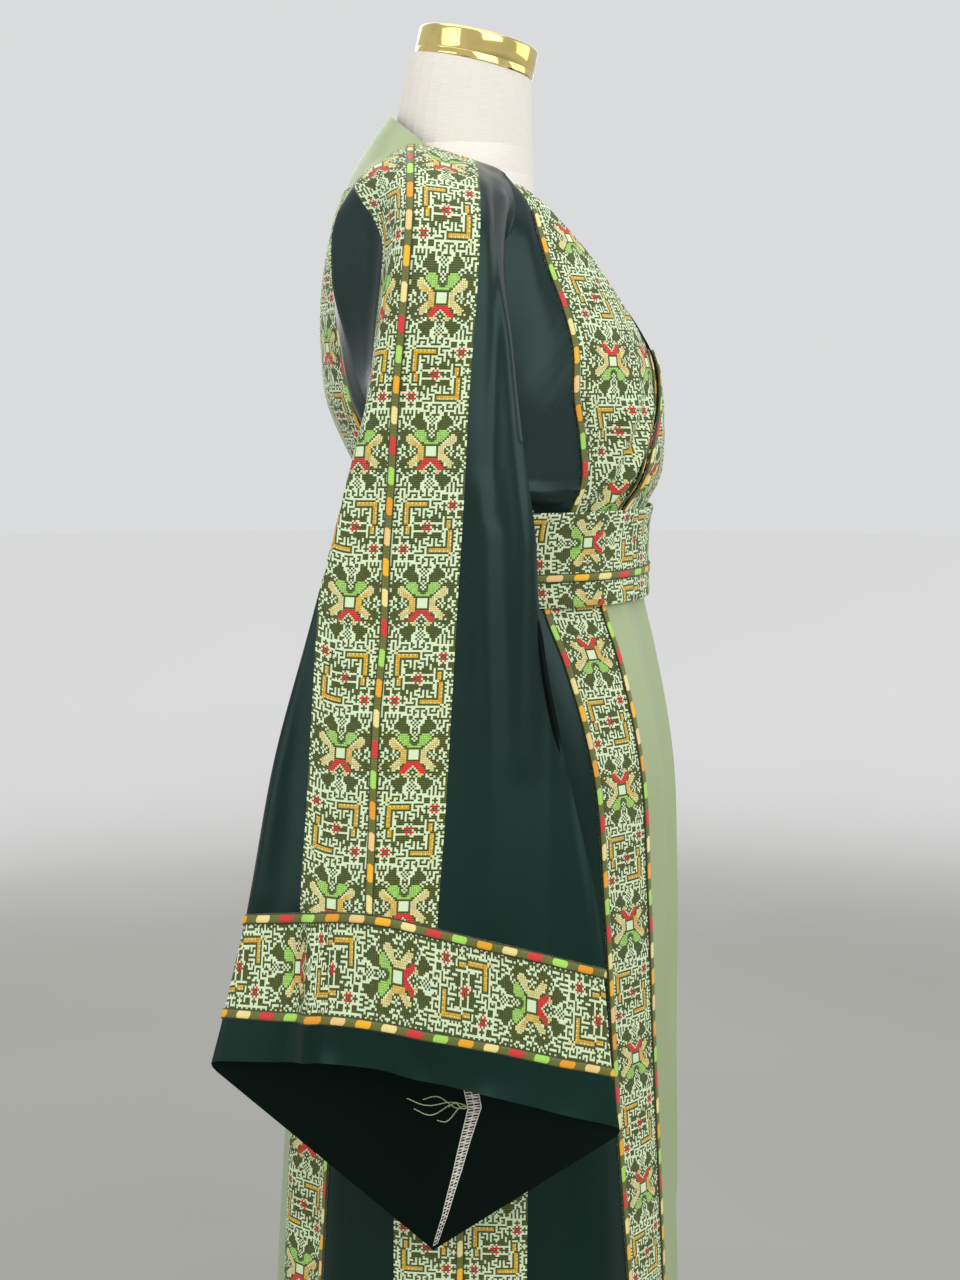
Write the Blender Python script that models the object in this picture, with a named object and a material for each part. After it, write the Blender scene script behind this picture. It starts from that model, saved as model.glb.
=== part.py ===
"""An embroidered satin thobe with kimono sleeves and a belt, on a limbless dress form.

Metres, +Z up. The front faces -Y and the wearer's right is -X. The origin is on the floor, under the
middle of the whole part. Each cut piece of cloth is a thin wall taken from one shared sheet, so that
neighbours keep an even seam, and each ribbon is made from its panel's own points, moved out.
"""
from functools import lru_cache
from math import copysign, cos, pi, radians, sin

import bpy
import numpy as np

# Driving dimensions
CLOTH = 0.0016            # wall of a panel
TRIM = 0.0010             # wall of a ribbon
SEAM = 0.0003             # gap between neighbours in a seam
FOLDED_SEAM = 0.0006      # the same where a seam crosses a sharp fold
RIBBON_LIFT = 0.0004      # gap between a ribbon and its panel
RIBBON = 0.0070           # width of a ribbon
HALF_STRIP = 0.0600       # one embroidered column, with its half of the ribbon
MIDDLE = 0.0330           # a stop near the middle of a column
WAIST_SEAM = 1.060        # height of the seam between bodice and skirt
BODICE_EDGE = 1.0604      # the bodice's lower edge there
UNDERARM = 1.131          # height where the sleeve leaves the bodice
OVERLAP_RISE = 0.0030     # how far the left front stands off the right one
OVERLAP_RAMP = 0.0450     # width over which the left front rises
OVERLAP_FLAT = 0.0120     # width at its free edge that has risen in full
BELT_STAND_OFF = 0.0074   # from the waist to the belt's outer face
BELT_TOP = 1.106
BELT_BOTTOM = 1.022
BELT_RIBBON = (0.022, 0.030)  # the belt ribbon's edges above the belt's lower edge
SIDE_STRIP_TOP = 1.114    # the bodice's side strip ends here, tucked under the blousing satin
TUCK = 0.005              # how far that end lies inside, and how much narrower it is
SIDE_SHIFT = 0.010        # the side strips sit this far behind the widest point

# Cross-sections of the dress: height, half width, where it is widest, front, back, squareness
BODY_SECTIONS = (
    (0.030, 0.245, -0.010, -0.212, 0.212, 2.4),
    (0.200, 0.228, -0.010, -0.204, 0.206, 2.4),
    (0.400, 0.206, -0.010, -0.197, 0.197, 2.4),
    (0.600, 0.190, -0.010, -0.191, 0.184, 2.4),
    (0.760, 0.184, -0.010, -0.189, 0.168, 2.3),
    (0.880, 0.176, -0.010, -0.183, 0.142, 2.3),
    (0.975, 0.157, -0.010, -0.166, 0.106, 2.3),
    (1.022, 0.145, -0.010, -0.156, 0.091, 2.2),
    (1.060, 0.141, -0.010, -0.154, 0.086, 2.2),
    (1.106, 0.143, -0.010, -0.159, 0.094, 2.2),
    (1.131, 0.146, -0.010, -0.171, 0.110, 2.2),
    (1.164, 0.148, -0.010, -0.175, 0.128, 2.2),
    (1.205, 0.150, -0.008, -0.172, 0.144, 2.3),
    (1.250, 0.150, -0.004, -0.160, 0.149, 2.3),
    (1.300, 0.148, 0.004, -0.134, 0.148, 2.3),
    (1.350, 0.146, 0.016, -0.103, 0.140, 2.2),
    (1.385, 0.140, 0.028, -0.072, 0.130, 2.1),
    (1.410, 0.132, 0.036, -0.036, 0.118, 2.0),
)

# Skirt seams, measured along the cloth: height, centre front to the front strip,
# centre back to the back strip
SKIRT_SEAMS = (
    (0.030, 0.105, 0.140),
    (0.400, 0.100, 0.125),
    (0.760, 0.108, 0.100),
    (0.975, 0.109, 0.062),
    (1.060, 0.107, 0.047),
)
SKIRT_HEIGHTS = (WAIST_SEAM, 1.022, 0.975, 0.880, 0.760, 0.600, 0.410, 0.220, 0.030)

# Bodice seams along the cloth: height, centre front to the outer ribbon, to the right front's
# free edge and to the left front's (plus is the wearer's right), centre back to the back strip's outer edge
BODICE_SEAMS = (
    (1.0615, 0.150, 0.101, 0.094, 0.105),
    (1.100, 0.150, 0.083, 0.077, 0.110),
    (1.131, 0.153, 0.067, 0.060, 0.116),
    (1.170, 0.160, 0.052, 0.043, 0.120),
    (1.205, 0.166, 0.040, 0.029, 0.122),
    (1.250, 0.156, 0.034, 0.012, 0.117),
    (1.295, 0.147, 0.047, -0.040, 0.110),
    (1.325, 0.141, 0.060, -0.059, 0.108),
    (1.347, 0.131, 0.070, -0.070, 0.108),
    (1.370, 0.114, 0.078, -0.078, 0.107),
    (1.394, 0.095, 0.083, -0.083, 0.104),
)

# Lines of the right sleeve where it is one with the bodice, neckline to underarm: x, y, z
BATWING_SPINE = (
    (-0.080, 0.055, 1.434), (-0.140, 0.048, 1.418), (-0.190, 0.042, 1.396), (-0.222, 0.039, 1.364),
    (-0.236, 0.040, 1.319), (-0.243, 0.043, 1.269), (-0.247, 0.047, 1.217), (-0.252, 0.051, 1.131),
)
BATWING_FRONT_FOLD = (
    (-0.086, -0.022, 1.409), (-0.135, -0.027, 1.396), (-0.175, -0.029, 1.378), (-0.200, -0.034, 1.350),
    (-0.215, -0.040, 1.308), (-0.222, -0.047, 1.262), (-0.228, -0.052, 1.213), (-0.238, -0.062, 1.131),
)
BATWING_FRONT_VALLEY = (
    (-0.092, -0.031, 1.402), (-0.112, -0.040, 1.380), (-0.130, -0.040, 1.358), (-0.141, -0.032, 1.334),
    (-0.150, -0.020, 1.300), (-0.155, -0.006, 1.256), (-0.160, 0.008, 1.210), (-0.168, 0.028, UNDERARM),
)
BATWING_BACK_FOLD = (
    (-0.096, 0.091, 1.408), (-0.148, 0.074, 1.405), (-0.190, 0.056, 1.384), (-0.215, 0.052, 1.350),
    (-0.226, 0.056, 1.308), (-0.232, 0.063, 1.262), (-0.236, 0.072, 1.213), (-0.239, 0.096, 1.131),
)
BATWING_BACK_HOLLOW = (
    (-0.104, 0.096, 1.400), (-0.140, 0.098, 1.386), (-0.162, 0.078, 1.364), (-0.172, 0.070, 1.336),
    (-0.176, 0.072, 1.298), (-0.179, 0.076, 1.256), (-0.183, 0.078, 1.210), (-0.205, 0.078, 1.131),
)
BATWING_BACK_BULGE = (
    (-0.112, 0.099, 1.392), (-0.134, 0.110, 1.372), (-0.141, 0.116, 1.350), (-0.144, 0.117, 1.330),
    (-0.146, 0.115, 1.298), (-0.150, 0.103, 1.256), (-0.155, 0.088, 1.210), (-0.168, 0.028, UNDERARM),
)
SEAM_HEIGHTS = (1.394, 1.370, 1.347, 1.325, 1.295, 1.250, 1.205, UNDERARM)

# Lines of the right sleeve where it hangs free, underarm to hem: x, y, z
SLEEVE_SPINE = (
    (-0.252, 0.051, 1.131), (-0.262, 0.056, 1.040), (-0.274, 0.060, 0.950), (-0.286, 0.064, 0.868),
    (-0.298, 0.068, 0.788), (-0.299, 0.068, 0.779), (-0.307, 0.071, 0.701), (-0.308, 0.072, 0.692),
    (-0.310, 0.075, 0.662),
)
SLEEVE_FRONT_FOLD = (
    (-0.238, -0.062, 1.131), (-0.245, -0.078, 1.036), (-0.252, -0.093, 0.950), (-0.262, -0.110, 0.860),
    (-0.275, -0.133, 0.737), (-0.276, -0.134, 0.728), (-0.280, -0.141, 0.654), (-0.281, -0.142, 0.645),
    (-0.285, -0.148, 0.603),
)
SLEEVE_BACK_FOLD = (
    (-0.239, 0.096, 1.131), (-0.242, 0.121, 1.040), (-0.250, 0.143, 0.951), (-0.257, 0.163, 0.862),
    (-0.266, 0.181, 0.774), (-0.267, 0.183, 0.765), (-0.275, 0.199, 0.695), (-0.276, 0.201, 0.686),
    (-0.280, 0.210, 0.649),
)
SLEEVE_UNDERARM = (
    (-0.168, 0.028, 1.131), (-0.200, 0.026, 1.030), (-0.213, 0.024, 0.925), (-0.220, 0.022, 0.820),
    (-0.226, 0.021, 0.706), (-0.226, 0.021, 0.697), (-0.230, 0.020, 0.616), (-0.230, 0.020, 0.607),
    (-0.234, 0.020, 0.466),
)
CUFF_ROW = 4              # the row of the free sleeve where the cuff band starts

# Rounding of each line, as the length of cloth that turns on each side of it
FOLD_TURN_TOP = 0.010
FOLD_TURN_ARM = 0.010
FOLD_TURN_CUFF = 0.014
SPINE_TURN = 0.030
HOLLOW_TURN = 0.012

# The dress form: height, half width, where it is widest, front, back, squareness
FORM_SECTIONS = (
    (0.800, 0.120, -0.005, -0.090, 0.080, 2.2),
    (0.815, 0.142, -0.006, -0.112, 0.098, 2.2),
    (0.880, 0.156, -0.010, -0.130, 0.112, 2.2),
    (0.975, 0.143, -0.010, -0.128, 0.094, 2.2),
    (1.110, 0.124, -0.010, -0.122, 0.084, 2.1),
    (1.164, 0.126, -0.008, -0.144, 0.096, 2.1),
    (1.205, 0.128, -0.004, -0.150, 0.108, 2.1),
    (1.250, 0.129, 0.004, -0.134, 0.114, 2.1),
    (1.300, 0.134, 0.012, -0.106, 0.114, 2.0),
    (1.345, 0.148, 0.024, -0.078, 0.104, 1.9),
    (1.370, 0.146, 0.032, -0.060, 0.096, 1.8),
    (1.390, 0.118, 0.034, -0.052, 0.088, 1.8),
    (1.410, 0.084, 0.026, -0.050, 0.083, 1.9),
    (1.435, 0.064, 0.017, -0.049, 0.081, 2.0),
    (1.470, 0.060, 0.014, -0.048, 0.076, 2.0),
    (1.500, 0.056, 0.009, -0.048, 0.066, 2.0),
)
FORM_SIDES = 32
WAIST_EASE = 0.0064       # from the outer face of the cinched waist to the form
CAP_HEIGHT = 0.027
CAP_RADIUS = 0.0560
CAP_CENTRE = (0.006, 1.5095)  # y and z of the middle of the cap's underside
CAP_TILT = 12.0           # degrees, forward and down
CAP_PROFILE = ((0.0, 0.0), (0.001, CAP_HEIGHT - 0.003), (0.004, CAP_HEIGHT))  # inset and rise of its rings
POLE_RADIUS = 0.0125
BASE_RADIUS = 0.150
BASE_HEIGHT = 0.020
BASE_EDGE = 0.006
TURNED_SIDES = 32

LINEN = (0.86, 0.82, 0.75, 1.0, 0.85, 0.0)
GOLD = (0.83, 0.62, 0.27, 1.0, 0.15, 1.0)
STEEL = (0.75, 0.75, 0.76, 1.0, 0.30, 1.0)
SATIN = (0.035, 0.085, 0.085, 1.0, 0.38, 0.0)
MINT = (0.55, 0.68, 0.53, 1.0, 0.40, 0.0)
EMBROIDERY = (0.48, 0.55, 0.38, 1.0, 0.80, 0.0)
RIBBON_PAINT = (0.28, 0.30, 0.08, 1.0, 0.55, 0.0)


def clear_scene():
    """Empty the file of its starting objects."""
    for item in list(bpy.data.objects):
        bpy.data.objects.remove(item, do_unlink=True)


def smooth(table, column, at):
    """Read one column of a table at a value of its first column, along a smooth curve."""
    keys = np.array([row[0] for row in table])
    values = np.array([row[column] for row in table])
    order = np.argsort(keys)
    keys, values = keys[order], values[order]
    slopes = np.gradient(values, keys)
    at = min(max(at, keys[0]), keys[-1])
    i = min(max(int(np.searchsorted(keys, at)) - 1, 0), len(keys) - 2)
    step = keys[i + 1] - keys[i]
    t = (at - keys[i]) / step
    return ((2 * t ** 3 - 3 * t ** 2 + 1) * values[i] + (t ** 3 - 2 * t ** 2 + t) * step * slopes[i]
            + (3 * t ** 2 - 2 * t ** 3) * values[i + 1] + (t ** 3 - t ** 2) * step * slopes[i + 1])


def between(low, high, part):
    """The value a part of the way from low to high."""
    return low + (high - low) * part


def power(value, squareness):
    """A rounded-square sine or cosine."""
    return copysign(abs(value) ** (2 / squareness), value)


@lru_cache(maxsize=None)
def section_sizes(sections, height):
    """Half width, widest place, front, back and squareness of a table's cross-section at a height."""
    return tuple(smooth(sections, k, height) for k in range(1, 6))


def section_point(sizes, height, angle):
    """A point on a cross-section; angle 0 is the centre front and pi the centre back."""
    half, widest, front, back, square = sizes
    reach = widest - front if cos(angle) > 0 else back - widest
    return np.array([-half * power(sin(angle), square), widest - reach * power(cos(angle), square), height])


@lru_cache(maxsize=None)
def half_section(height, count=240):
    """Points of the right half of the dress's cross-section, with the length of cloth up to each."""
    sizes = section_sizes(BODY_SECTIONS, height)
    points = np.array([section_point(sizes, height, pi * k / count) for k in range(count + 1)])
    steps = np.linalg.norm(np.diff(points, axis=0), axis=1)
    return points, np.concatenate([[0.0], np.cumsum(steps)])


def on_body(height, arc):
    """The point that lies a length of cloth from the centre front; plus goes to the wearer's right."""
    points, lengths = half_section(height)
    place = [np.interp(abs(arc), lengths, points[:, k]) for k in range(3)]
    return np.array([copysign(1.0, arc) * place[0], place[1], height])


def half_girth(height):
    """Length of cloth from the centre front to the centre back."""
    return half_section(height)[1][-1]


def side_arc(height):
    """Length of cloth from the centre front to the middle of the side strip."""
    points, lengths = half_section(height)
    return lengths[len(points) // 2] + SIDE_SHIFT


def mirrored(grid):
    """The wearer's left copy of a grid of points."""
    return [[point * np.array([-1.0, 1.0, 1.0]) for point in row] for row in grid]


class Sheet:
    """One sheet of four-cornered faces, each marked with the piece that is cut from it."""

    def __init__(self):
        self.points = []
        self.places = {}
        self.faces = {}

    def corner(self, point):
        """The index of a point, shared by every face that meets there."""
        key = tuple(int(round(c * 1e6)) for c in point)
        if key not in self.places:
            self.places[key] = len(self.points)
            self.points.append(np.array(point, dtype=float))
        return self.places[key]

    def patch(self, grid, columns, flip=False):
        """Add a grid; columns names the piece or pieces of each column of faces, or of each (row, column)."""
        index = [[self.corner(point) for point in row] for row in grid]
        for i in range(len(grid) - 1):
            for j in range(len(grid[0]) - 1):
                names = columns(i, j) if callable(columns) else columns[j]
                quad = [index[i][j], index[i][j + 1], index[i + 1][j + 1], index[i + 1][j]]
                for name in ([names] if isinstance(names, str) else names):
                    self.faces.setdefault(name, []).append((quad, flip))

    def triangles(self, name):
        """The faces of a piece as triangles that face out, split the same way on every piece."""
        out = []
        for (a, b, c, d), flip in self.faces[name]:
            for tri in ((a, b, c), (a, c, d)):
                if len(set(tri)) == 3:
                    out.append(tri[::-1] if flip else tri)
        return out

    def normals(self, names):
        """Directions out of the cloth at every point, shared by all pieces."""
        points = np.array(self.points)
        out = np.zeros_like(points)
        for name in names:
            for a, b, c in self.triangles(name):
                face = np.cross(points[b] - points[a], points[c] - points[a])
                for k in (a, b, c):
                    out[k] += face
        return out / np.maximum(np.linalg.norm(out, axis=1), 1e-12)[:, None]


def seam_shifts(points, triangles, gap):
    """How far each edge point of a piece moves into it, so that it stays half a seam from its neighbour."""
    edges = {}
    for tri in triangles:
        face = np.cross(points[tri[1]] - points[tri[0]], points[tri[2]] - points[tri[0]])
        for k in range(3):
            edges[(tri[k], tri[(k + 1) % 3])] = face / np.linalg.norm(face)
    inward = {}
    for (a, b), normal in edges.items():
        if (b, a) in edges:
            continue
        along = points[b] - points[a]
        aside = np.cross(normal, along / np.linalg.norm(along))
        for k in (a, b):
            inward[k] = inward.get(k, np.zeros(3)) + aside
    return {k: v * (2 * gap / max(float(v @ v), 0.6)) for k, v in inward.items()}


def make_material(name, look):
    """A plain finish: colour, roughness and metallic."""
    material = bpy.data.materials.new(name)
    material.use_nodes = True
    shader = material.node_tree.nodes["Principled BSDF"]
    shader.inputs["Base Color"].default_value = look[:4]
    shader.inputs["Roughness"].default_value = look[4]
    shader.inputs["Metallic"].default_value = look[5]
    return material


def add_object(name, vertices, faces, look):
    """Put a closed mesh into the scene with its own finish."""
    mesh = bpy.data.meshes.new(name)
    mesh.from_pydata([tuple(map(float, v)) for v in vertices], [], faces)
    mesh.materials.append(make_material(name, look))
    mesh.validate()
    mesh.shade_smooth()
    mesh.set_sharp_from_angle(angle=radians(40))
    item = bpy.data.objects.new(name, mesh)
    bpy.context.scene.collection.objects.link(item)


def cut_piece(sheet, normals, name, lift=0.0, wall=CLOTH):
    """Make one piece as a wall: its outer face lies lift above the sheet."""
    triangles = sheet.triangles(name)
    points = np.array(sheet.points)
    folded = name == "bodice_back" or "cuff_band" in name
    shifts = seam_shifts(points, triangles, (FOLDED_SEAM if folded else SEAM) / 2)
    used = sorted({k for tri in triangles for k in tri})
    order = {k: n for n, k in enumerate(used)}
    base = [points[k] + shifts.get(k, 0.0) for k in used]
    outer = [p + normals[k] * lift for p, k in zip(base, used)]
    inner = [p + normals[k] * (lift - wall) for p, k in zip(base, used)]
    count = len(used)
    faces = [tuple(order[k] for k in tri) for tri in triangles]
    faces += [tuple(order[k] + count for k in tri[::-1]) for tri in triangles]
    directed = {(t[k], t[(k + 1) % 3]) for t in triangles for k in range(3)}
    for a, b in sorted(directed):
        if (b, a) in directed:
            continue
        i, j = order[a], order[b]
        if a < b:
            faces += [(j, i, i + count), (j, i + count, j + count)]
        else:
            faces += [(j, i, j + count), (i, i + count, j + count)]
    add_object(name, outer + inner, faces, look_of(name))


def rounded_line(corners, turns, steps=8):
    """A line through corners, each rounded over its own length; returns points and each corner's index."""
    line, marks = [corners[0]], [0]
    for k in range(1, len(corners) - 1):
        before, here, after = corners[k - 1], corners[k], corners[k + 1]
        back, ahead = before - here, after - here
        turn = min(turns[k], 0.48 * np.linalg.norm(back), 0.48 * np.linalg.norm(ahead))
        start = here + back / np.linalg.norm(back) * turn
        end = here + ahead / np.linalg.norm(ahead) * turn
        for n in range(steps + 1):
            t = n / steps
            line.append((1 - t) ** 2 * start + 2 * t * (1 - t) * here + t ** 2 * end)
        marks.append(len(line) - 1 - steps // 2)
    line.append(corners[-1])
    marks.append(len(line) - 1)
    return np.array(line), marks


def walk(line, origin, distances):
    """Points at lengths along a line, measured from one of its points."""
    lengths = np.concatenate([[0.0], np.cumsum(np.linalg.norm(np.diff(line, axis=0), axis=1))])
    at = lengths[origin] + np.array(distances)
    return [np.array([np.interp(a, lengths, line[:, k]) for k in range(3)]) for a in at]


def length_to(line, origin, mark):
    """Length of a line between two of its points."""
    low, high = sorted((origin, mark))
    return float(np.linalg.norm(np.diff(line[low:high + 1], axis=0), axis=1).sum())


STRIP_STOPS = (-HALF_STRIP, -0.038, -0.018, -RIBBON / 2, RIBBON / 2, 0.015, 0.030, 0.045, HALF_STRIP)
PAST_FOLD_STOPS = (0.12, 0.45)    # stops between the fold and the valley or underarm seam
PAST_HOLLOW_STOPS = (0.28, 0.62)  # stops between the back fold or hollow and the end of the row


def sleeve_row(fold_turn, spine, front_fold, front_end, *back):
    """One row of the sleeve, from its front end round the strip to its back end."""
    corners = [np.array(p) for p in (front_end, front_fold, spine) + back]
    turns = (0.0, fold_turn, SPINE_TURN, fold_turn, HOLLOW_TURN)
    line, marks = rounded_line(corners, turns)
    to_end = length_to(line, marks[2], marks[0])
    to_fold = max(length_to(line, marks[2], marks[1]), HALF_STRIP + 0.004)
    to_hollow = max(length_to(line, marks[2], marks[len(back) + 1]), HALF_STRIP + 0.006)
    to_back = length_to(line, marks[2], marks[-1])
    stops = [-to_end]
    stops += [-(to_fold + f * (to_end - to_fold)) for f in reversed(PAST_FOLD_STOPS)]
    stops += [-to_fold]
    stops += [-(HALF_STRIP + f * (to_fold - HALF_STRIP)) for f in (0.5,)]
    stops += list(STRIP_STOPS)
    to_hollow = min(to_hollow, between(HALF_STRIP, to_back, 0.6))
    stops += [between(HALF_STRIP, to_hollow, 0.5), to_hollow]
    stops += [between(to_hollow, to_back, f) for f in PAST_HOLLOW_STOPS]
    stops += [to_back]
    return walk(line, marks[2], stops)


FRONT_COLUMNS = len(PAST_FOLD_STOPS) + 3   # columns of faces from the front valley to the strip
STRIP_COLUMNS = len(STRIP_STOPS) - 1


def sleeve_piece(column, side):
    """The pieces that a column of the sleeve belongs to."""
    if column < FRONT_COLUMNS:
        return "kimono_front_" + side
    if column >= FRONT_COLUMNS + STRIP_COLUMNS:
        return "kimono_back_" + side
    strip = "sleeve_strip_" + side
    middle = FRONT_COLUMNS + STRIP_STOPS.index(-RIBBON / 2)
    return (strip, "sleeve_ribbon_" + side) if column == middle else strip


def cuff_piece(row, side):
    """The pieces that a row of the sleeve's end belongs to."""
    if row == 3:
        return "cuff_hem_" + side
    band = "cuff_band_" + side
    ribbon = {0: "cuff_top_ribbon_", 2: "cuff_lower_ribbon_"}.get(row)
    return (band, ribbon + side) if ribbon else band


def add_sleeve(sheet, side, flip):
    """The sleeve from the neckline to the hem, with its strip, cuff band and hem."""
    turn = mirrored if flip else list
    lines = (BATWING_SPINE, BATWING_FRONT_FOLD, BATWING_FRONT_VALLEY,
             BATWING_BACK_FOLD, BATWING_BACK_HOLLOW, BATWING_BACK_BULGE)
    last = len(SEAM_HEIGHTS) - 1
    upper = []
    for n, row in enumerate(zip(*lines)):
        upper.append(sleeve_row(between(FOLD_TURN_TOP, FOLD_TURN_ARM, n / last), *row))
    lines = (SLEEVE_SPINE, SLEEVE_FRONT_FOLD, SLEEVE_UNDERARM, SLEEVE_BACK_FOLD, SLEEVE_UNDERARM)
    last = len(SLEEVE_SPINE) - 1
    free = []
    for n, row in enumerate(zip(*lines)):
        free.append(sleeve_row(between(FOLD_TURN_ARM, FOLD_TURN_CUFF, n / last), *row))
    arm = upper + free[1:CUFF_ROW + 1]
    sheet.patch(turn(arm), lambda i, j: sleeve_piece(j, side), flip)
    sheet.patch(turn(free[CUFF_ROW:]), lambda i, j: cuff_piece(i, side), flip)
    return upper


def bodice_value(column, height):
    """One column of the bodice seams at a height."""
    return smooth(BODICE_SEAMS, column, height)


BLOUSE = 0.010            # how far the satin beside the bodice seams stands out at the underarm
BLOUSE_STOPS = ((0.31, 1.0), (0.65, 0.6))  # its stops from seam to valley, with their share of that


def blouse_rows(upper, seam, sign):
    """Rows of satin between a valley of the sleeve and the bodice seam, neckline to underarm."""
    rows = []
    last = len(SEAM_HEIGHTS) - 1
    for n, height in enumerate(SEAM_HEIGHTS):
        valley = upper[n][0] if sign > 0 else upper[n][-1]
        edge = on_body(height, seam(height))
        out = (valley + edge) / 2 - on_body_middle(height)
        out[2] = 0.0
        fullness = BLOUSE * (n / last) * out / np.linalg.norm(out)
        row = [edge]
        for part, share in BLOUSE_STOPS:
            row.append(between(edge, valley, part) + fullness * share)
        rows.append(row + [valley])
    return rows


def front_seam(height):
    """Length of cloth from the centre front to the bodice's outer ribbon."""
    return bodice_value(1, height)


def back_seam(height):
    """Length of cloth from the centre front to the back strip's outer edge."""
    return half_girth(height) - bodice_value(4, height)


def add_blouse(sheet, upper, side, flip):
    """The satin of the sleeve that reaches the bodice seams, and the part of it that goes under the belt."""
    turn = mirrored if flip else list
    front = blouse_rows(upper, front_seam, 1)
    back = blouse_rows(upper, back_seam, -1)
    sheet.patch(turn(front), ["kimono_front_" + side] * 3, flip)
    sheet.patch(turn([row[::-1] for row in back]), ["kimono_back_" + side] * 3, flip)
    heights = (1.100, BODICE_EDGE)
    lower_front = [front[-1][:2]]
    lower_back = [back[-1][:2][::-1]]
    for height in heights:
        strip = side_arc(height)
        lower_front.append([on_body(height, front_seam(height)), on_body(height, strip - HALF_STRIP)])
        lower_back.append([on_body(height, strip + HALF_STRIP), on_body(height, back_seam(height))])
    sheet.patch(turn(lower_front), ["kimono_front_" + side], flip)
    sheet.patch(turn(lower_back), ["kimono_back_" + side], flip)
    add_side_strip(sheet, side, flip, heights)
    return back[0][::-1]


def add_side_strip(sheet, side, flip, heights):
    """The bodice's side strip, which shows only between the blousing satin and the belt."""
    turn = mirrored if flip else list
    strip_rows = []
    for height in (SIDE_STRIP_TOP,) + heights:
        tuck = TUCK if height == SIDE_STRIP_TOP else 0.0
        stops = [side_arc(height) + f * (HALF_STRIP - tuck) for f in (-1, -0.5, 0, 0.5, 1)]
        strip_rows.append([inside(on_body(height, stop), tuck) for stop in stops])
    sheet.patch(turn(strip_rows), ["bodice_side_strip_" + side] * 4, flip)


BODICE_HEIGHTS = SEAM_HEIGHTS + (1.100, BODICE_EDGE)


FRONT_STOPS = (0.0, 0.3, 0.65, 1.0)   # stops of a front between its two ribbons


def front_row(height, seam, edge, rise):
    """One row of a front panel from its outer seam to its free edge, with a ribbon's width at each."""
    sign = copysign(1.0, edge - seam)
    inner = [between(seam + sign * RIBBON, edge - sign * RIBBON, f) for f in FRONT_STOPS]
    arcs = [seam] + inner + [edge]
    row = []
    for arc in arcs:
        point = on_body(height, arc)
        out = point - on_body_middle(height)
        near = min(max(1 - (abs(edge - arc) - OVERLAP_FLAT) / OVERLAP_RAMP, 0.0), 1.0) if rise else 0.0
        row.append(point + out / np.linalg.norm(out) * rise * near)
    return row


def inside(point, depth):
    """A point moved level towards the middle of the dress."""
    way = on_body_middle(point[2]) - point
    return point + way / np.linalg.norm(way) * depth


def on_body_middle(height):
    """The middle of the dress at a height."""
    return np.array([0.0, smooth(BODY_SECTIONS, 2, height), height])


def add_fronts(sheet):
    """The two embroidered fronts; the left one crosses over the right one."""
    right, left = [], []
    for height in BODICE_HEIGHTS:
        seam = front_seam(height)
        rise = OVERLAP_RISE if height <= 1.250 else 0.0
        right.append(front_row(height, seam, bodice_value(2, height), 0.0)[::-1])
        left.append(front_row(height, -seam, bodice_value(3, height), rise))
    sheet.patch(right, lambda i, j: front_piece(i, 4 - j, "right"))
    sheet.patch(left, lambda i, j: front_piece(i, j, "left"))


RIBBON_ROW = 5            # the row where the two fronts meet and their inner ribbons begin


def front_piece(row, column, side):
    """The pieces that a face of a front belongs to; column 0 is at the outer seam."""
    panel = "bodice_front_" + side
    if column == 0 and row > 0:
        return (panel, "bodice_outer_ribbon_" + side)
    if column == 4 and row >= RIBBON_ROW:
        return (panel, "bodice_inner_ribbon_" + side)
    return panel


def add_back(sheet, upper, shoulder):
    """The mint back with its raised neck, and the embroidered strip on each side of it."""
    rows = []
    for height in BODICE_HEIGHTS:
        girth, outer = half_girth(height), bodice_value(4, height)
        arcs = [outer, outer - RIBBON, outer - MIDDLE, outer - HALF_STRIP, (outer - HALF_STRIP) / 2, 0.0]
        rows.append([on_body(height, girth - arc) for arc in arcs])
    for side, flip in (("right", False), ("left", True)):
        turn = mirrored if flip else list
        strip = "back_strip_" + side
        columns = [(strip, "back_ribbon_" + side), strip, strip, "bodice_back", "bodice_back"]
        sheet.patch(turn(rows), columns, flip)
    collar(sheet, upper[0], shoulder[:-1] + rows[0])


COLLAR_PEAK = (0.0, 0.084, 1.466)   # the raised neck's top at the centre back


def shares(points):
    """How far along a line each of its points lies, from 0 to 1."""
    steps = np.linalg.norm(np.diff(np.array(points), axis=0), axis=1)
    return np.concatenate([[0.0], np.cumsum(steps)]) / steps.sum()


def collar(sheet, neck_row, low):
    """The raised part of the mint back, from the strip's end on one shoulder to the other."""
    side = neck_row[FRONT_COLUMNS + STRIP_STOPS.index(-RIBBON / 2) + 1:]
    across, down = shares(low), shares(side)
    peak = np.array(COLLAR_PEAK)
    top = []
    for t in across:
        point = between(side[0], peak, sin(t * pi / 2))
        point[0] = side[0][0] * cos(t * pi / 2)
        top.append(point)
    rows = []
    for v, edge in zip(down, side):
        centre = between(peak, low[-1], v)
        row = []
        for u, high, under in zip(across, top, low):
            corners = between(between(side[0], peak, u), between(side[-1], low[-1], u), v)
            row.append(between(edge, centre, u) + between(high, under, v) - corners)
        rows.append(row)
    for flip in (False, True):
        turn = mirrored if flip else list
        sheet.patch(turn(rows), ["bodice_back"] * (len(low) - 1), flip)


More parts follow.
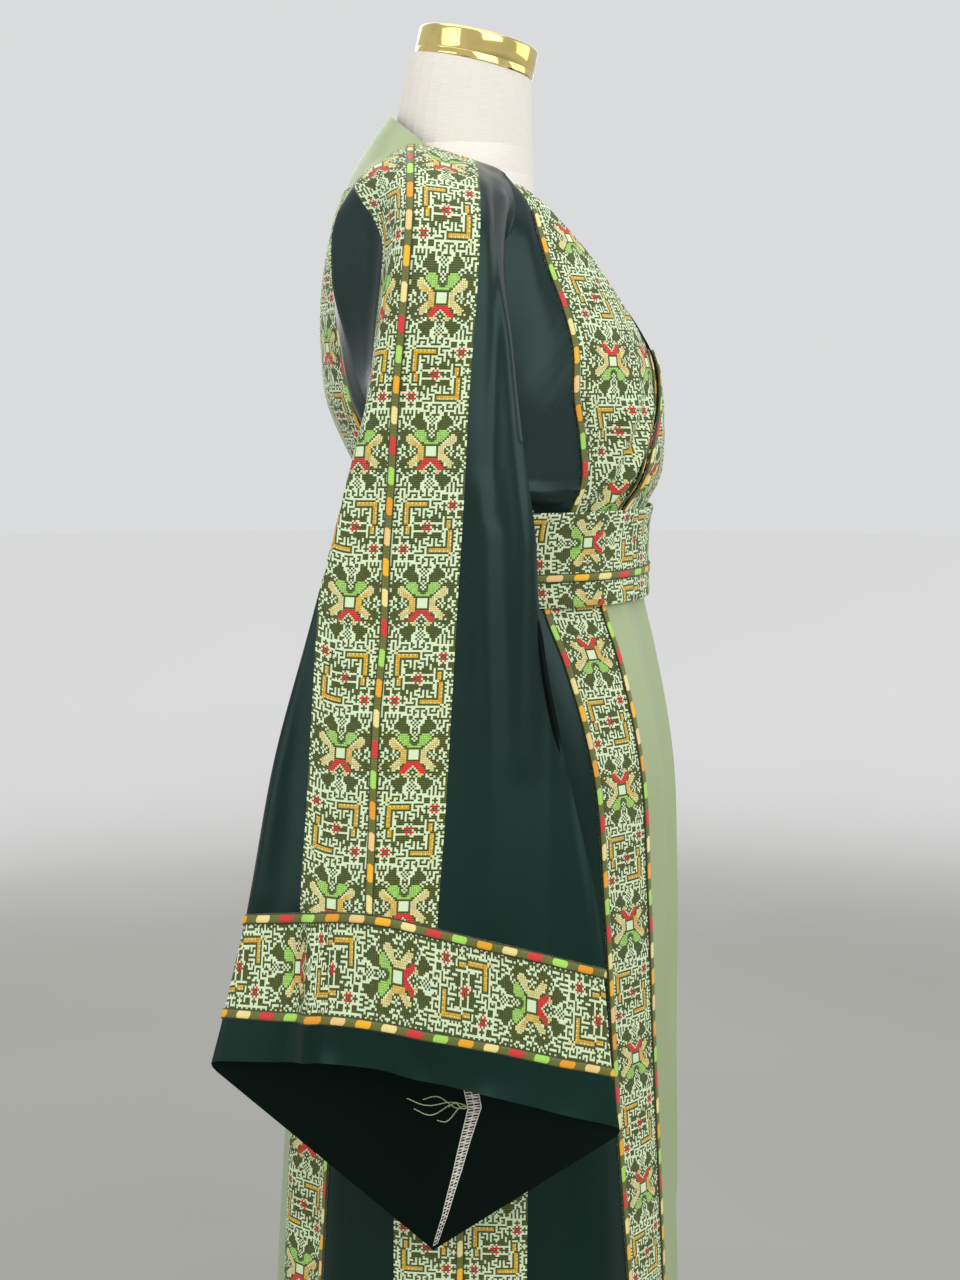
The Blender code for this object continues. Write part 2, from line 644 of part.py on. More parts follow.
def skirt_arcs(height):
    """Seams of the right half of the skirt along the cloth, with a few stops between them."""
    front = smooth(SKIRT_SEAMS, 1, height)
    back = half_girth(height) - smooth(SKIRT_SEAMS, 2, height)
    side = side_arc(height)
    outer = front + HALF_STRIP + RIBBON
    back_outer = back - HALF_STRIP
    stops = [(0.0, "skirt_centre_front"), (front / 2, "skirt_centre_front"),
             (front, ("skirt_front_strip", "skirt_inner_ribbon")), (front + RIBBON, "skirt_front_strip"),
             (front + MIDDLE, "skirt_front_strip"),
             (outer - RIBBON, ("skirt_front_strip", "skirt_outer_ribbon"))]
    for k in range(2):
        stops.append((outer + (side - HALF_STRIP - outer) * k / 2, "skirt_side_front"))
    stops += [(side - HALF_STRIP, "skirt_side_strip"), (side - MIDDLE, "skirt_side_strip"),
              (side - RIBBON / 2, ("skirt_side_strip", "skirt_side_ribbon")),
              (side + RIBBON / 2, "skirt_side_strip"), (side + MIDDLE, "skirt_side_strip")]
    for k in range(2):
        low = side + HALF_STRIP
        stops.append((low + (back_outer - low) * k / 2, "skirt_side_back"))
    stops += [(back_outer, ("skirt_back_strip", "skirt_back_ribbon")),
              (back_outer + RIBBON, "skirt_back_strip"),
              (back_outer + MIDDLE, "skirt_back_strip"), (back, "skirt_centre_back"),
              ((back + half_girth(height)) / 2, "skirt_centre_back"), (half_girth(height), None)]
    return stops


def add_skirt(sheet):
    """The skirt: gores, strips and their ribbons, from the waist seam to the hem."""
    rows = [skirt_arcs(height) for height in SKIRT_HEIGHTS]
    grid = [[on_body(height, arc) for arc, _ in row] for height, row in zip(SKIRT_HEIGHTS, rows)]
    names = [name for _, name in rows[0]][:-1]
    for side, flip in (("right", False), ("left", True)):
        turn = mirrored if flip else list
        sheet.patch(turn(grid), [sided(name, side) for name in names], flip)


def sided(names, side):
    """Piece names with their side, apart from the two pieces that cross the centre."""
    if isinstance(names, tuple):
        return tuple(sided(name, side) for name in names)
    return names if "centre" in names else names + "_" + side


BELT_COLUMNS = 20         # columns of faces in half of the belt


def add_belt(sheet):
    """The belt and its ribbon, a little outside the waist."""
    low, high = BELT_RIBBON
    heights = (BELT_TOP, BELT_BOTTOM + high, BELT_BOTTOM + low, BELT_BOTTOM)
    for flip in (False, True):
        turn = mirrored if flip else list
        grid = []
        for height in heights:
            middle = on_body_middle(height)
            row = []
            for k in range(BELT_COLUMNS + 1):
                point = on_body(height, half_girth(height) * k / BELT_COLUMNS)
                out = point - middle
                row.append(point + out / np.linalg.norm(out) * BELT_STAND_OFF)
            grid.append(row)
        sheet.patch(turn(grid), lambda i, j: ("belt", "belt_ribbon") if i == 1 else "belt", flip)


def look_of(name):
    """The finish of a piece of cloth, by its name."""
    if "ribbon" in name:
        return RIBBON_PAINT
    if "kimono" in name or "hem" in name or "side_front" in name or "side_back" in name:
        return SATIN
    if "centre" in name or name == "bodice_back":
        return MINT
    return EMBROIDERY


def make_cloth():
    """Lay out the sheet and cut every piece of cloth from it."""
    sheet = Sheet()
    upper = add_sleeve(sheet, "right", False)
    add_sleeve(sheet, "left", True)
    for side, flip in (("right", False), ("left", True)):
        shoulder = add_blouse(sheet, upper, side, flip)
    add_fronts(sheet)
    add_back(sheet, upper, shoulder)
    add_skirt(sheet)
    add_belt(sheet)
    panels = [name for name in sheet.faces if "ribbon" not in name]
    normals = sheet.normals(panels)
    for name in sorted(sheet.faces):
        if "ribbon" in name:
            cut_piece(sheet, normals, name, RIBBON_LIFT + TRIM, TRIM)
        else:
            cut_piece(sheet, normals, name)


def loft(rings):
    """A closed body through rings with the same number of points, with flat ends."""
    sides = len(rings[0])
    vertices = [p for ring in rings for p in ring]
    faces = []
    for i in range(len(rings) - 1):
        for j in range(sides):
            k = (j + 1) % sides
            a, b = i * sides + j, i * sides + k
            faces.append((a, b, b + sides, a + sides))
    faces.append(tuple(range(sides))[::-1])
    faces.append(tuple(range((len(rings) - 1) * sides, len(rings) * sides)))
    return vertices, faces


def form_ring(height):
    """One ring of the dress form, seen from above counter-clockwise."""
    sizes = section_sizes(FORM_SECTIONS, height)
    return [section_point(sizes, height, -2 * pi * (k + 0.5) / FORM_SIDES) for k in range(FORM_SIDES)]


def waist_ring(height):
    """The form's ring at the cinched waist, just inside the cloth there."""
    ring = []
    middle = on_body_middle(height)
    sizes = section_sizes(BODY_SECTIONS, height)
    for k in range(FORM_SIDES):
        angle = -2 * pi * (k + 0.5) / FORM_SIDES
        point = section_point(sizes, height, angle)
        out = point - middle
        ring.append(point - out / np.linalg.norm(out) * WAIST_EASE)
    return ring


def make_form():
    """The torso and neck, the neck cap, the pole and the base."""
    rings = []
    for section in FORM_SECTIONS:
        rings.append(form_ring(section[0]))
        if section[0] == 0.975:
            rings.append(waist_ring(WAIST_SEAM))
    tilt = radians(CAP_TILT)
    top = [tilted(p, tilt) for p in form_ring(FORM_SECTIONS[-1][0])]
    rings[-1] = top
    vertices, faces = loft(rings)
    add_object("form_torso", vertices, faces, LINEN)
    add_cap(tilt)
    turned("form_pole", ((POLE_RADIUS, BASE_HEIGHT + SEAM), (POLE_RADIUS, FORM_SECTIONS[0][0] - SEAM)), STEEL)
    turned("form_base", ((BASE_RADIUS, 0.0), (BASE_RADIUS, BASE_HEIGHT - BASE_EDGE),
                         (BASE_RADIUS - BASE_EDGE, BASE_HEIGHT)), STEEL)


def tilted(point, tilt):
    """A point of the neck's top ring, set on the cap's slanting plane."""
    y, z = CAP_CENTRE
    return np.array([point[0], point[1], z + (point[1] - y) * sin(tilt) / cos(tilt) - SEAM])


def add_cap(tilt):
    """The round cap on the neck, tilted with it."""
    rings = []
    for inset, rise in CAP_PROFILE:
        radius = CAP_RADIUS - inset
        ring = []
        for k in range(TURNED_SIDES):
            angle = 2 * pi * k / TURNED_SIDES
            x, y = radius * cos(angle), radius * sin(angle)
            ring.append(np.array([x, CAP_CENTRE[0] + y * cos(tilt) - rise * sin(tilt),
                                  CAP_CENTRE[1] + y * sin(tilt) + rise * cos(tilt)]))
        rings.append(ring)
    vertices, faces = loft(rings)
    add_object("form_neck_cap", vertices, faces, GOLD)


def turned(name, profile, look):
    """A round piece about the pole's axis, from a profile of radius and height."""
    rings = []
    for radius, height in profile:
        turns = [2 * pi * k / TURNED_SIDES for k in range(TURNED_SIDES)]
        rings.append([np.array([radius * cos(turn), radius * sin(turn), height]) for turn in turns])
    vertices, faces = loft(rings)
    add_object(name, vertices, faces, look)


clear_scene()
make_cloth()
make_form()
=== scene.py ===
"""Looks of an embroidered satin thobe with kimono sleeves and a belt, on a limbless dress form.

Metres, +Z up. The front faces -Y and the wearer's right is -X. Every sheet of cloth is evaluated finely on
the same form as its solid, with its folds placed one by one, and given a thin wall. A place on the cloth is
written as (across, down): the length of cloth from a reference line, and the length from the top.
"""
from __future__ import annotations

import logging
from dataclasses import dataclass, field
from enum import Enum
from functools import lru_cache
from math import cos, pi, radians, sin, tan
from typing import Callable, Sequence, Union

import bpy
import numpy as np
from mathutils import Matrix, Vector
from numpy.linalg import norm


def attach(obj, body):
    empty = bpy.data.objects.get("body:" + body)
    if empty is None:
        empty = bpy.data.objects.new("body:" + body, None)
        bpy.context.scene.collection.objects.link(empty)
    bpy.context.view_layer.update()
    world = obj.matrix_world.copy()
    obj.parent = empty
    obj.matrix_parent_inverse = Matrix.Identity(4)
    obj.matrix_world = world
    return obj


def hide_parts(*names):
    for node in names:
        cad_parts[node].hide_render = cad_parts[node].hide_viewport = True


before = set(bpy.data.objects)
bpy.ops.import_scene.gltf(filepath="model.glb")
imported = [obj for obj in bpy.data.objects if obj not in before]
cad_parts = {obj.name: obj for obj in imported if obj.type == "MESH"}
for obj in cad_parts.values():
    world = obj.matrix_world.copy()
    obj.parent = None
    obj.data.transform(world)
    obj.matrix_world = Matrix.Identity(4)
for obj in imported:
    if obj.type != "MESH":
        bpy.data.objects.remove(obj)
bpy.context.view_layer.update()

Array = np.ndarray
Item = bpy.types.Object
Material = bpy.types.Material
Faces = list[tuple[int, ...]]
Patch = tuple[Array, Array]  # points in rows, and their places
Line = Callable[[float], float]  # an arc by height
Lift = Callable[[Array], Array]  # one value or place for each place
Stand = Callable[[float, Array], Array]  # how far points of one height stand off the form
Charting = Callable[[Array, Array], Array]  # places for the finish, from places and heights

LOG = logging.getLogger("thobe")

# Sizes shared with the solids
CLOTH = 0.0016  # wall of a panel
RIBBON = 0.0070  # width of a ribbon
RIBBON_LIFT = 0.0004  # gap between a ribbon and its panel
RIBBON_RIM = 0.0006  # thickness of a ribbon at its edges
RIBBON_CROWN = 0.0011  # how much thicker it is along its middle
HALF_STRIP = 0.0600  # one embroidered column, with its half of the ribbon
WAIST_SEAM = 1.060
BODICE_EDGE = 1.0604
HEM = 0.030
NECK_SEAM = 1.394  # top of the bodice's back and side seams
UNDERARM = 1.131  # height where the sleeve leaves the bodice
STRIP_CORNER = 1.100  # height where the satin meets the side strip
OVERLAP_RISE = 0.0044  # how far the left front stands off the right one
OVERLAP_RAMP = 0.0450
OVERLAP_FLAT = 0.0120
OVERLAP_START = 0.0400  # height in which the left front begins to stand off
FRONTS_MEET = 1.250  # height where the two fronts cross
BELT_STAND_OFF = 0.0074
BELT_TOP = 1.106
BELT_BOTTOM = 1.022
BELT_RIBBON = (0.022, 0.030)  # the ribbon's edges above the belt's lower edge
SIDE_SHIFT = 0.010  # the side strips sit this far behind the widest point

CELL = 0.0062  # side of one mesh cell of a sheet
REPEAT = 0.1250  # length of one repeat of the embroidery
STITCH_COLUMNS = 36  # stitches across one embroidered column
STITCH_ROWS = 76  # stitches along one repeat
BLOCK_PITCH = 0.0250  # from one coloured block of a ribbon to the next
RIBBON_OFFS = np.linspace(-RIBBON / 2, RIBBON / 2, 7)  # points across a ribbon
TO_LEFT = np.array([-1.0, 1.0, 1.0])  # turns a point of the right side into the left one's
WHOLE_BLOCKS = 10.0  # a length of whole blocks that keeps a ribbon's places above zero
SHARP_CLOTH = 62.0  # degrees; a harder edge than this isn't shaded smooth

# Cross-sections of the dress: height, half width, where it is widest, front, back, squareness
BODY_SECTIONS = (
    (0.030, 0.245, -0.010, -0.212, 0.212, 2.4),
    (0.200, 0.228, -0.010, -0.204, 0.206, 2.4),
    (0.400, 0.206, -0.010, -0.197, 0.197, 2.4),
    (0.600, 0.190, -0.010, -0.191, 0.184, 2.4),
    (0.760, 0.184, -0.010, -0.189, 0.168, 2.3),
    (0.880, 0.176, -0.010, -0.183, 0.142, 2.3),
    (0.975, 0.157, -0.010, -0.166, 0.106, 2.3),
    (1.022, 0.145, -0.010, -0.156, 0.091, 2.2),
    (1.060, 0.141, -0.010, -0.154, 0.086, 2.2),
    (1.106, 0.143, -0.010, -0.159, 0.094, 2.2),
    (1.131, 0.146, -0.010, -0.171, 0.110, 2.2),
    (1.164, 0.148, -0.010, -0.175, 0.128, 2.2),
    (1.205, 0.150, -0.008, -0.172, 0.144, 2.3),
    (1.250, 0.150, -0.004, -0.160, 0.149, 2.3),
    (1.300, 0.148, 0.004, -0.134, 0.148, 2.3),
    (1.350, 0.146, 0.016, -0.103, 0.140, 2.2),
    (1.385, 0.140, 0.028, -0.072, 0.130, 2.1),
    (1.410, 0.132, 0.036, -0.036, 0.118, 2.0),
)

# Skirt seams along the cloth: height, centre front to the front strip, centre back to the back strip
SKIRT_SEAMS = (
    (0.030, 0.105, 0.140), (0.400, 0.100, 0.125), (0.760, 0.108, 0.100), (0.975, 0.109, 0.062),
    (1.060, 0.107, 0.047),
)

# Bodice seams along the cloth: height, centre front to the outer ribbon, to the right front's free edge
# and to the left front's, centre back to the back strip's outer edge
BODICE_SEAMS = (
    (1.0615, 0.150, 0.103, 0.107, 0.105), (1.100, 0.150, 0.090, 0.095, 0.110),
    (1.131, 0.153, 0.079, 0.084, 0.116), (1.170, 0.160, 0.067, 0.072, 0.120),
    (1.205, 0.166, 0.052, 0.057, 0.122), (1.250, 0.156, 0.034, 0.022, 0.117),
    (1.295, 0.147, 0.047, -0.040, 0.110), (1.325, 0.141, 0.060, -0.059, 0.108),
    (1.347, 0.131, 0.070, -0.070, 0.108), (1.370, 0.114, 0.078, -0.078, 0.107),
    (1.394, 0.095, 0.083, -0.083, 0.104),
)
SEAM_HEIGHTS = (1.394, 1.370, 1.347, 1.325, 1.295, 1.250, 1.205, UNDERARM)

# Lines of the right sleeve from the neckline to the hem: spine, front fold, front end, back fold, hollow
# and back end. The first eight rows are one with the bodice, and the others hang free.
SPINE = (
    (-0.080, 0.055, 1.434), (-0.140, 0.048, 1.418), (-0.190, 0.042, 1.396), (-0.222, 0.039, 1.364),
    (-0.236, 0.040, 1.319), (-0.243, 0.043, 1.269), (-0.247, 0.047, 1.217), (-0.252, 0.051, 1.131),
    (-0.262, 0.056, 1.040), (-0.274, 0.060, 0.950), (-0.286, 0.064, 0.868), (-0.298, 0.068, 0.788),
    (-0.299, 0.068, 0.779), (-0.307, 0.071, 0.701), (-0.308, 0.072, 0.692), (-0.310, 0.075, 0.662),
)
FRONT_FOLD = (
    (-0.086, -0.022, 1.409), (-0.135, -0.027, 1.396), (-0.175, -0.029, 1.378), (-0.200, -0.034, 1.350),
    (-0.215, -0.040, 1.308), (-0.222, -0.047, 1.262), (-0.228, -0.052, 1.213), (-0.238, -0.062, 1.131),
    (-0.245, -0.078, 1.036), (-0.252, -0.093, 0.950), (-0.262, -0.110, 0.860), (-0.275, -0.133, 0.737),
    (-0.276, -0.134, 0.728), (-0.280, -0.141, 0.654), (-0.281, -0.142, 0.645), (-0.285, -0.148, 0.603),
)
FRONT_END = (
    (-0.092, -0.031, 1.402), (-0.112, -0.040, 1.380), (-0.130, -0.040, 1.358), (-0.141, -0.032, 1.334),
    (-0.150, -0.020, 1.300), (-0.155, -0.006, 1.256), (-0.160, 0.008, 1.210), (-0.168, 0.028, 1.131),
    (-0.200, 0.026, 1.030), (-0.213, 0.024, 0.925), (-0.220, 0.022, 0.820), (-0.226, 0.021, 0.706),
    (-0.226, 0.021, 0.697), (-0.230, 0.020, 0.616), (-0.230, 0.020, 0.607), (-0.234, 0.020, 0.466),
)
BACK_FOLD = (
    (-0.096, 0.091, 1.408), (-0.148, 0.074, 1.405), (-0.190, 0.056, 1.384), (-0.215, 0.052, 1.350),
    (-0.226, 0.056, 1.308), (-0.232, 0.063, 1.262), (-0.236, 0.072, 1.213), (-0.239, 0.096, 1.131),
    (-0.242, 0.121, 1.040), (-0.250, 0.143, 0.951), (-0.257, 0.163, 0.862), (-0.266, 0.181, 0.774),
    (-0.267, 0.183, 0.765), (-0.275, 0.199, 0.695), (-0.276, 0.201, 0.686), (-0.280, 0.210, 0.649),
)
BODICE_HOLLOW = (
    (-0.104, 0.096, 1.400), (-0.140, 0.098, 1.386), (-0.162, 0.078, 1.364), (-0.172, 0.070, 1.336),
    (-0.176, 0.072, 1.298), (-0.179, 0.076, 1.256), (-0.183, 0.078, 1.210), (-0.205, 0.078, 1.131),
)
BODICE_BULGE = (
    (-0.112, 0.099, 1.392), (-0.134, 0.110, 1.372), (-0.141, 0.116, 1.350), (-0.144, 0.117, 1.330),
    (-0.146, 0.115, 1.298), (-0.150, 0.103, 1.256), (-0.155, 0.088, 1.210), (-0.168, 0.028, 1.131),
)
UNDERARM_ROW = 7
SHOULDER_END = 0.241  # length down the sleeve where the strip stops stretching over the shoulder
SHOULDER_STRETCH = 1.22
CUFF_ROW = 11  # rows 11 to 15: top ribbon, band, lower ribbon, hem
TURN_TOP = 0.010
TURN_CUFF = 0.014
SPINE_TURN = 0.030
HOLLOW_TURN = 0.012
TURN_POINTS = 13  # points round each corner of a sleeve's row
BLOUSE = 0.010  # how far the satin beside the bodice seams stands out at the underarm
BLOUSE_COLUMNS = 13  # points across that satin
TUCK_ROW = 0.0045  # height of its rows below the underarm
BLOUSE_SHARES = ((0.0, 0.0), (0.31, 1.0), (0.65, 0.6), (1.0, 0.0))
# Share of that by height, where the satin rolls over the belt
BLOUSE_ROLL = ((1.060, 0.0), (1.108, 0.0), (1.114, 0.30), (1.120, 1.15), (1.126, 1.25), (1.131, 1.0))
COLLAR_PEAK = (0.0, 0.084, 1.466)


def hermite(table: Array, at: Array) -> Array:
    """Read the columns of a table along smooth curves.

    Args:
        table: Rows with the key first, in any order.
        at: Keys to read.

    Returns:
        One row for each key, without the key column.
    """
    table = np.asarray(table, float)
    table = table[np.argsort(table[:, 0])]
    keys, values = table[:, 0], table[:, 1:]
    slopes = np.gradient(values, keys, axis=0)
    at = np.clip(np.asarray(at, float), keys[0], keys[-1])
    i = np.clip(np.searchsorted(keys, at) - 1, 0, len(keys) - 2)
    step = (keys[i + 1] - keys[i])[:, None]
    t = (at - keys[i])[:, None] / step
    return ((2 * t ** 3 - 3 * t ** 2 + 1) * values[i] + (t ** 3 - 2 * t ** 2 + t) * step * slopes[i]
            + (3 * t ** 2 - 2 * t ** 3) * values[i + 1] + (t ** 3 - t ** 2) * step * slopes[i + 1])


def mix(low: Array, high: Array, part: float | Array) -> Array:
    """The value a part of the way from low to high."""
    return low + (high - low) * part


def ease(value: Array) -> Array:
    """A smooth step from 0 to 1."""
    value = np.clip(value, 0.0, 1.0)
    return value * value * (3 - 2 * value)


def lengths_along(line: Array) -> Array:
    """Length of a line up to each of its points."""
    return np.concatenate([[0.0], np.cumsum(norm(np.diff(line, axis=0), axis=1))])


def spaced(low: float, high: float, step: float = CELL) -> Array:
    """Values from low to high, about a step apart."""
    return np.linspace(low, high, max(int(round(abs(high - low) / step)), 1) + 1)


def spaced_through(*stops: float) -> Array:
    """Values from the first stop to the last, about a cell apart, with one at each stop."""
    runs = [spaced(low, high) for low, high in zip(stops, stops[1:])]
    return np.concatenate([runs[0], *(run[1:] for run in runs[1:])])


def paired(first: Array, second: Array) -> Array:
    """Two arrays of one shape, or that stretch to one, as pairs of numbers."""
    return np.stack(np.broadcast_arrays(first, second), axis=-1)


def read(table: Sequence[tuple[float, float]], at: Array | float) -> Array:
    """The second column of a table at values of its first, along straight lines."""
    return np.interp(at, *np.array(table).T)


def put_mesh(name: str, points: Array, faces: Faces, finishes: Sequence[Material], sharp: float = 0.0) -> Item:
    """Put a mesh in the scene.

    Args:
        name: Name of the object.
        points: Its points.
        faces: Corners of its faces.
        finishes: Its materials, in slot order.
        sharp: Angle in degrees above which an edge stays sharp; 0 leaves every face flat.

    Returns:
        The new object.
    """
    mesh = bpy.data.meshes.new(name)
    mesh.from_pydata(points.tolist(), [], faces)
    for finish in finishes:
        mesh.materials.append(finish)
    if sharp:
        mesh.shade_smooth()
        mesh.set_sharp_from_angle(angle=radians(sharp))
    item = bpy.data.objects.new(name, mesh)
    bpy.context.scene.collection.objects.link(item)
    return item


def ring_faces(rings: int, around: int) -> Faces:
    """Faces that join each ring of points to the next."""
    return [(k * around + j, k * around + (j + 1) % around, (k + 1) * around + (j + 1) % around,
             (k + 1) * around + j) for k in range(rings - 1) for j in range(around)]


CREASE_ENDS = 0.06  # share of a half wave that a crease's ends leave off
CREASE_SWING = 1.4  # how much further than its upper end a moved crease's lower end goes
CREASE_GROWTH = 6.0  # growth of a moved crease's height for each metre that it goes down


@dataclass(frozen=True)
class Crease:
    """A ridge or, where its height is negative, a hollow along a line on the cloth."""

    start: tuple[float, float]
    end: tuple[float, float]
    height: float
    width: float

    def lift(self, places: Array) -> Array:
        """How far the crease lifts the cloth.

        Args:
            places: Places on the cloth, across and down.

        Returns:
            The lift at each place.
        """
        start, way = np.array(self.start), np.subtract(self.end, self.start)
        along = np.clip((places - start) @ way / (way @ way), 0.0, 1.0)
        off = norm(places - start - along[..., None] * way, axis=-1)
        fade = np.sqrt(np.sin(pi * (CREASE_ENDS + (1 - 2 * CREASE_ENDS) * along)))
        return self.height * fade * np.exp(-(off / self.width) ** 2)

    def moved(self, across: float, down: float) -> Crease:
        """The same crease a little way off."""
        return Crease((self.start[0] + across, self.start[1]),
                      (self.end[0] + across * CREASE_SWING, self.end[1] + down),
                      self.height * (1 + CREASE_GROWTH * down), self.width)


def creases(*rows: tuple[float, ...]) -> tuple[Crease, ...]:
    """Creases from rows of numbers: the two of a start, the two of an end, a height and a width."""
    return tuple(Crease(row[:2], row[2:4], *row[4:]) for row in rows)


def relief(folds: Sequence[Crease]) -> Lift:
    """One function that adds up a list of creases."""
    return lambda places: sum((crease.lift(places) for crease in folds), np.zeros(places.shape[:-1]))


@dataclass
class Grid:
    """A patch of cloth: points in rows, each point's place for creases and its place for the finish."""

    points: Array
    places: Array
    chart: Array
    flip: bool = False

    def mirrored(self) -> Grid:
        """The same patch on the wearer's left."""
        return Grid(self.points * TO_LEFT, self.places, self.chart, not self.flip)

    def longest(self, axis: int) -> float:
        """Length of its longest column (0) or row (1)."""
        return norm(np.diff(self.points, axis=axis), axis=2).sum(axis=axis).max()


WELDS = 2e4  # places told apart in a metre when patches are joined
LEAST_WIDTH = 0.01
ROUNDING = 0.0005  # keeps a cut's stated length from falling short of its area


@dataclass
class Shell:
    """One piece of cloth as a thin wall: outer face, inner face and the rim between them.

    Its patches are halves that meet at the centre where halves is true, and its inner face and rim are dark
    where its last field is true; along the crossed fronts' free edges that dark rim is painted shade.
    """

    name: str
    grids: list[Grid] = field(default_factory=list)
    wall: float = CLOTH
    lift: float = 0.0
    folds: Lift | None = None
    crown: Lift | None = None
    halves: bool = False
    dark_inside: bool = False

    def weld(self) -> tuple[Array, Array, Array, Array]:
        """Join the patches where they touch.

        Returns:
            Points, places, corners of each face as points, and corners as raw places.
        """
        points = np.concatenate([grid.points.reshape(-1, 3) for grid in self.grids])
        keys = np.round(points * WELDS).astype(np.int64)
        _, first, index = np.unique(keys, axis=0, return_index=True, return_inverse=True)
        raw, base = [], 0
        for grid in self.grids:
            rows, columns = grid.points.shape[:2]
            at = base + np.arange(rows * columns).reshape(rows, columns)
            quads = np.stack([at[:-1, :-1], at[:-1, 1:], at[1:, 1:], at[1:, :-1]], axis=-1).reshape(-1, 4)
            raw.append(quads[:, ::-1] if grid.flip else quads)
            base += rows * columns
        corners = np.concatenate(raw)
        return points[first], self.joined("places")[first], index.reshape(-1)[corners], corners

    def joined(self, what: str) -> Array:
        """The places or the chart of every patch in one list."""
        return np.concatenate([getattr(grid, what).reshape(-1, 2) for grid in self.grids])

    def build(self, outside: Material, inside: Material) -> Item:
        """Make the piece's object.

        Args:
            outside: Finish of the outer face.
            inside: Finish of the inner face and the rim.

        Returns:
            The new object.
        """
        points, places, corners, raw = self.weld()
        chart = self.joined("chart")
        faces, loops = [], []
        for row, source in zip(corners.tolist(), raw.tolist()):
            seen: dict[int, int] = {}
            for corner, place in zip(row, source):
                seen.setdefault(corner, place)
            if len(seen) > 2:
                faces.append(tuple(seen))
                loops.append(tuple(seen.values()))
        normals = self.normals(points, corners)
        if self.folds is not None:
            points = points + normals * self.folds(places)[:, None]
            normals = self.normals(points, corners)
        wall = np.full(len(points), self.wall)
        if self.crown is not None:
            across = np.zeros(len(points))
            across[corners.reshape(-1)] = chart[raw.reshape(-1), 0]
            wall = self.crown(across)
        outer = points + normals * (self.lift + wall)[:, None] if self.lift else points
        inner = outer - normals * wall[:, None]
        return self.make(outer, inner, faces, loops, chart, (outside, inside))

    def cut(self, item: Item) -> tuple[float, float, float]:
        """Size of the piece's flat cut.

        Args:
            item: The piece's object.

        Returns:
            Width, length and area.
        """
        if self.crown:
            # A sheet is stated at least a centimetre wide, so a narrow ribbon's area tells its true width
            runs = [self.grids[0].longest(axis) for axis in (0, 1)]
            return LEAST_WIDTH, round(float(max(runs)), 4), round(float(max(runs) * min(runs)), 5)
        area = sum(face.area for face in item.data.polygons if face.material_index != 1)
        places = self.joined("places")
        width, length = places.max(axis=0) - places.min(axis=0)
        if self.halves or len(self.grids) == 1:
            width = max(grid.longest(1) for grid in self.grids) * (2 if self.halves else 1)
        length = max(length, area / width)
        return round(float(width), 4), round(float(length) + ROUNDING, 4), round(float(area), 5)

    @staticmethod
    def normals(points: Array, corners: Array) -> Array:
        """Directions out of the cloth at every point."""
        p = points[corners]
        face = np.cross(p[:, 2] - p[:, 0], p[:, 3] - p[:, 1])
        out = np.zeros_like(points)
        for k in range(4):
            np.add.at(out, corners[:, k], face)
        return out / np.maximum(norm(out, axis=1), 1e-12)[:, None]

    def make(self, outer: Array, inner: Array, faces: Faces, loops: Faces, chart: Array,
             finishes: Sequence[Material]) -> Item:
        """Put the wall's faces, finishes and map together.

        Args:
            outer: Points of the outer face.
            inner: Points of the inner face.
            faces: Corners of the outer face's faces.
            loops: The raw place of each corner.
            chart: Places for the finish, by raw place.
            finishes: Materials of the outer face, and of the inner face and rim.

        Returns:
            The new object.
        """
        count = len(outer)
        edges = {(f[k], f[(k + 1) % len(f)]): (u[k], u[(k + 1) % len(f)])
                 for f, u in zip(faces, loops) for k in range(len(f))}
        rim = [((b, a, a + count, b + count), (ub, ua, ua, ub))
               for (a, b), (ua, ub) in edges.items() if (b, a) not in edges]
        every = faces + [tuple(k + count for k in face[::-1]) for face in faces] + [r[0] for r in rim]
        maps = loops + [loop[::-1] for loop in loops] + [r[1] for r in rim]
        item = put_mesh(self.name, np.concatenate([outer, inner]), every, finishes, SHARP_CLOTH)
        outside = len(faces)
        item.data.polygons.foreach_set("material_index", [0] * outside + [1] * (len(every) - outside))
        layer = item.data.uv_layers.new(name="cloth")
        layer.data.foreach_set("uv", chart[[k for loop in maps for k in loop]].astype(np.float32).ravel())
        return item


# ---------------------------------------------------------------------------------------------- shaders


def operator(operation: str, swapped: bool = False) -> Callable[[Value, Number], Value]:
    """An operator of Value.

    Args:
        operation: The Math node's operation.
        swapped: Whether the value comes second, as in the reflected form of an operator.

    Returns:
        The operator's method.
    """
    def method(self: Value, other: Number) -> Value:
        """Add the node."""
        return self.graph.math(operation, *((other, self) if swapped else (self, other)))
    return method


class Value:
    """A number that varies over a surface. Arithmetic on it adds Math nodes."""

    __add__ = __radd__ = operator("ADD")
    __mul__ = __rmul__ = operator("MULTIPLY")
    __sub__, __rsub__ = operator("SUBTRACT"), operator("SUBTRACT", True)
    __truediv__, __rtruediv__ = operator("DIVIDE"), operator("DIVIDE", True)
    __mod__ = operator("FLOORED_MODULO")  # never negative
    __rpow__ = operator("POWER", True)
    __lt__, __gt__ = operator("LESS_THAN"), operator("GREATER_THAN")  # 1 where it is true

    def __init__(self, graph: Graph, socket: Socket) -> None:
        """Wrap a socket of a graph."""
        self.graph, self.socket = graph, socket

    def __abs__(self) -> Value:
        """Size without the sign."""
        return self.graph.math("ABSOLUTE", self)

    def floor(self) -> Value:
        """Whole part."""
        return self.graph.math("FLOOR", self)

    def ramp(self, low: float, high: float) -> Value:
        """A smooth step from 0 at low to 1 at high."""
        return self.graph.value("ShaderNodeMapRange", {"interpolation_type": "SMOOTHSTEP"},
                                {"Value": self, "From Min": low, "From Max": high})

    def clamp(self) -> Value:
        """The value kept from 0 to 1."""
        return self.graph.value("ShaderNodeClamp", {}, {"Value": self})


Colour = tuple[float, float, float, float]
Socket = bpy.types.NodeSocket
Shade = tuple[int, int, int]  # a colour's display values, 0 to 255
Number = Union[Value, float]
Tint = Union[Socket, Colour]


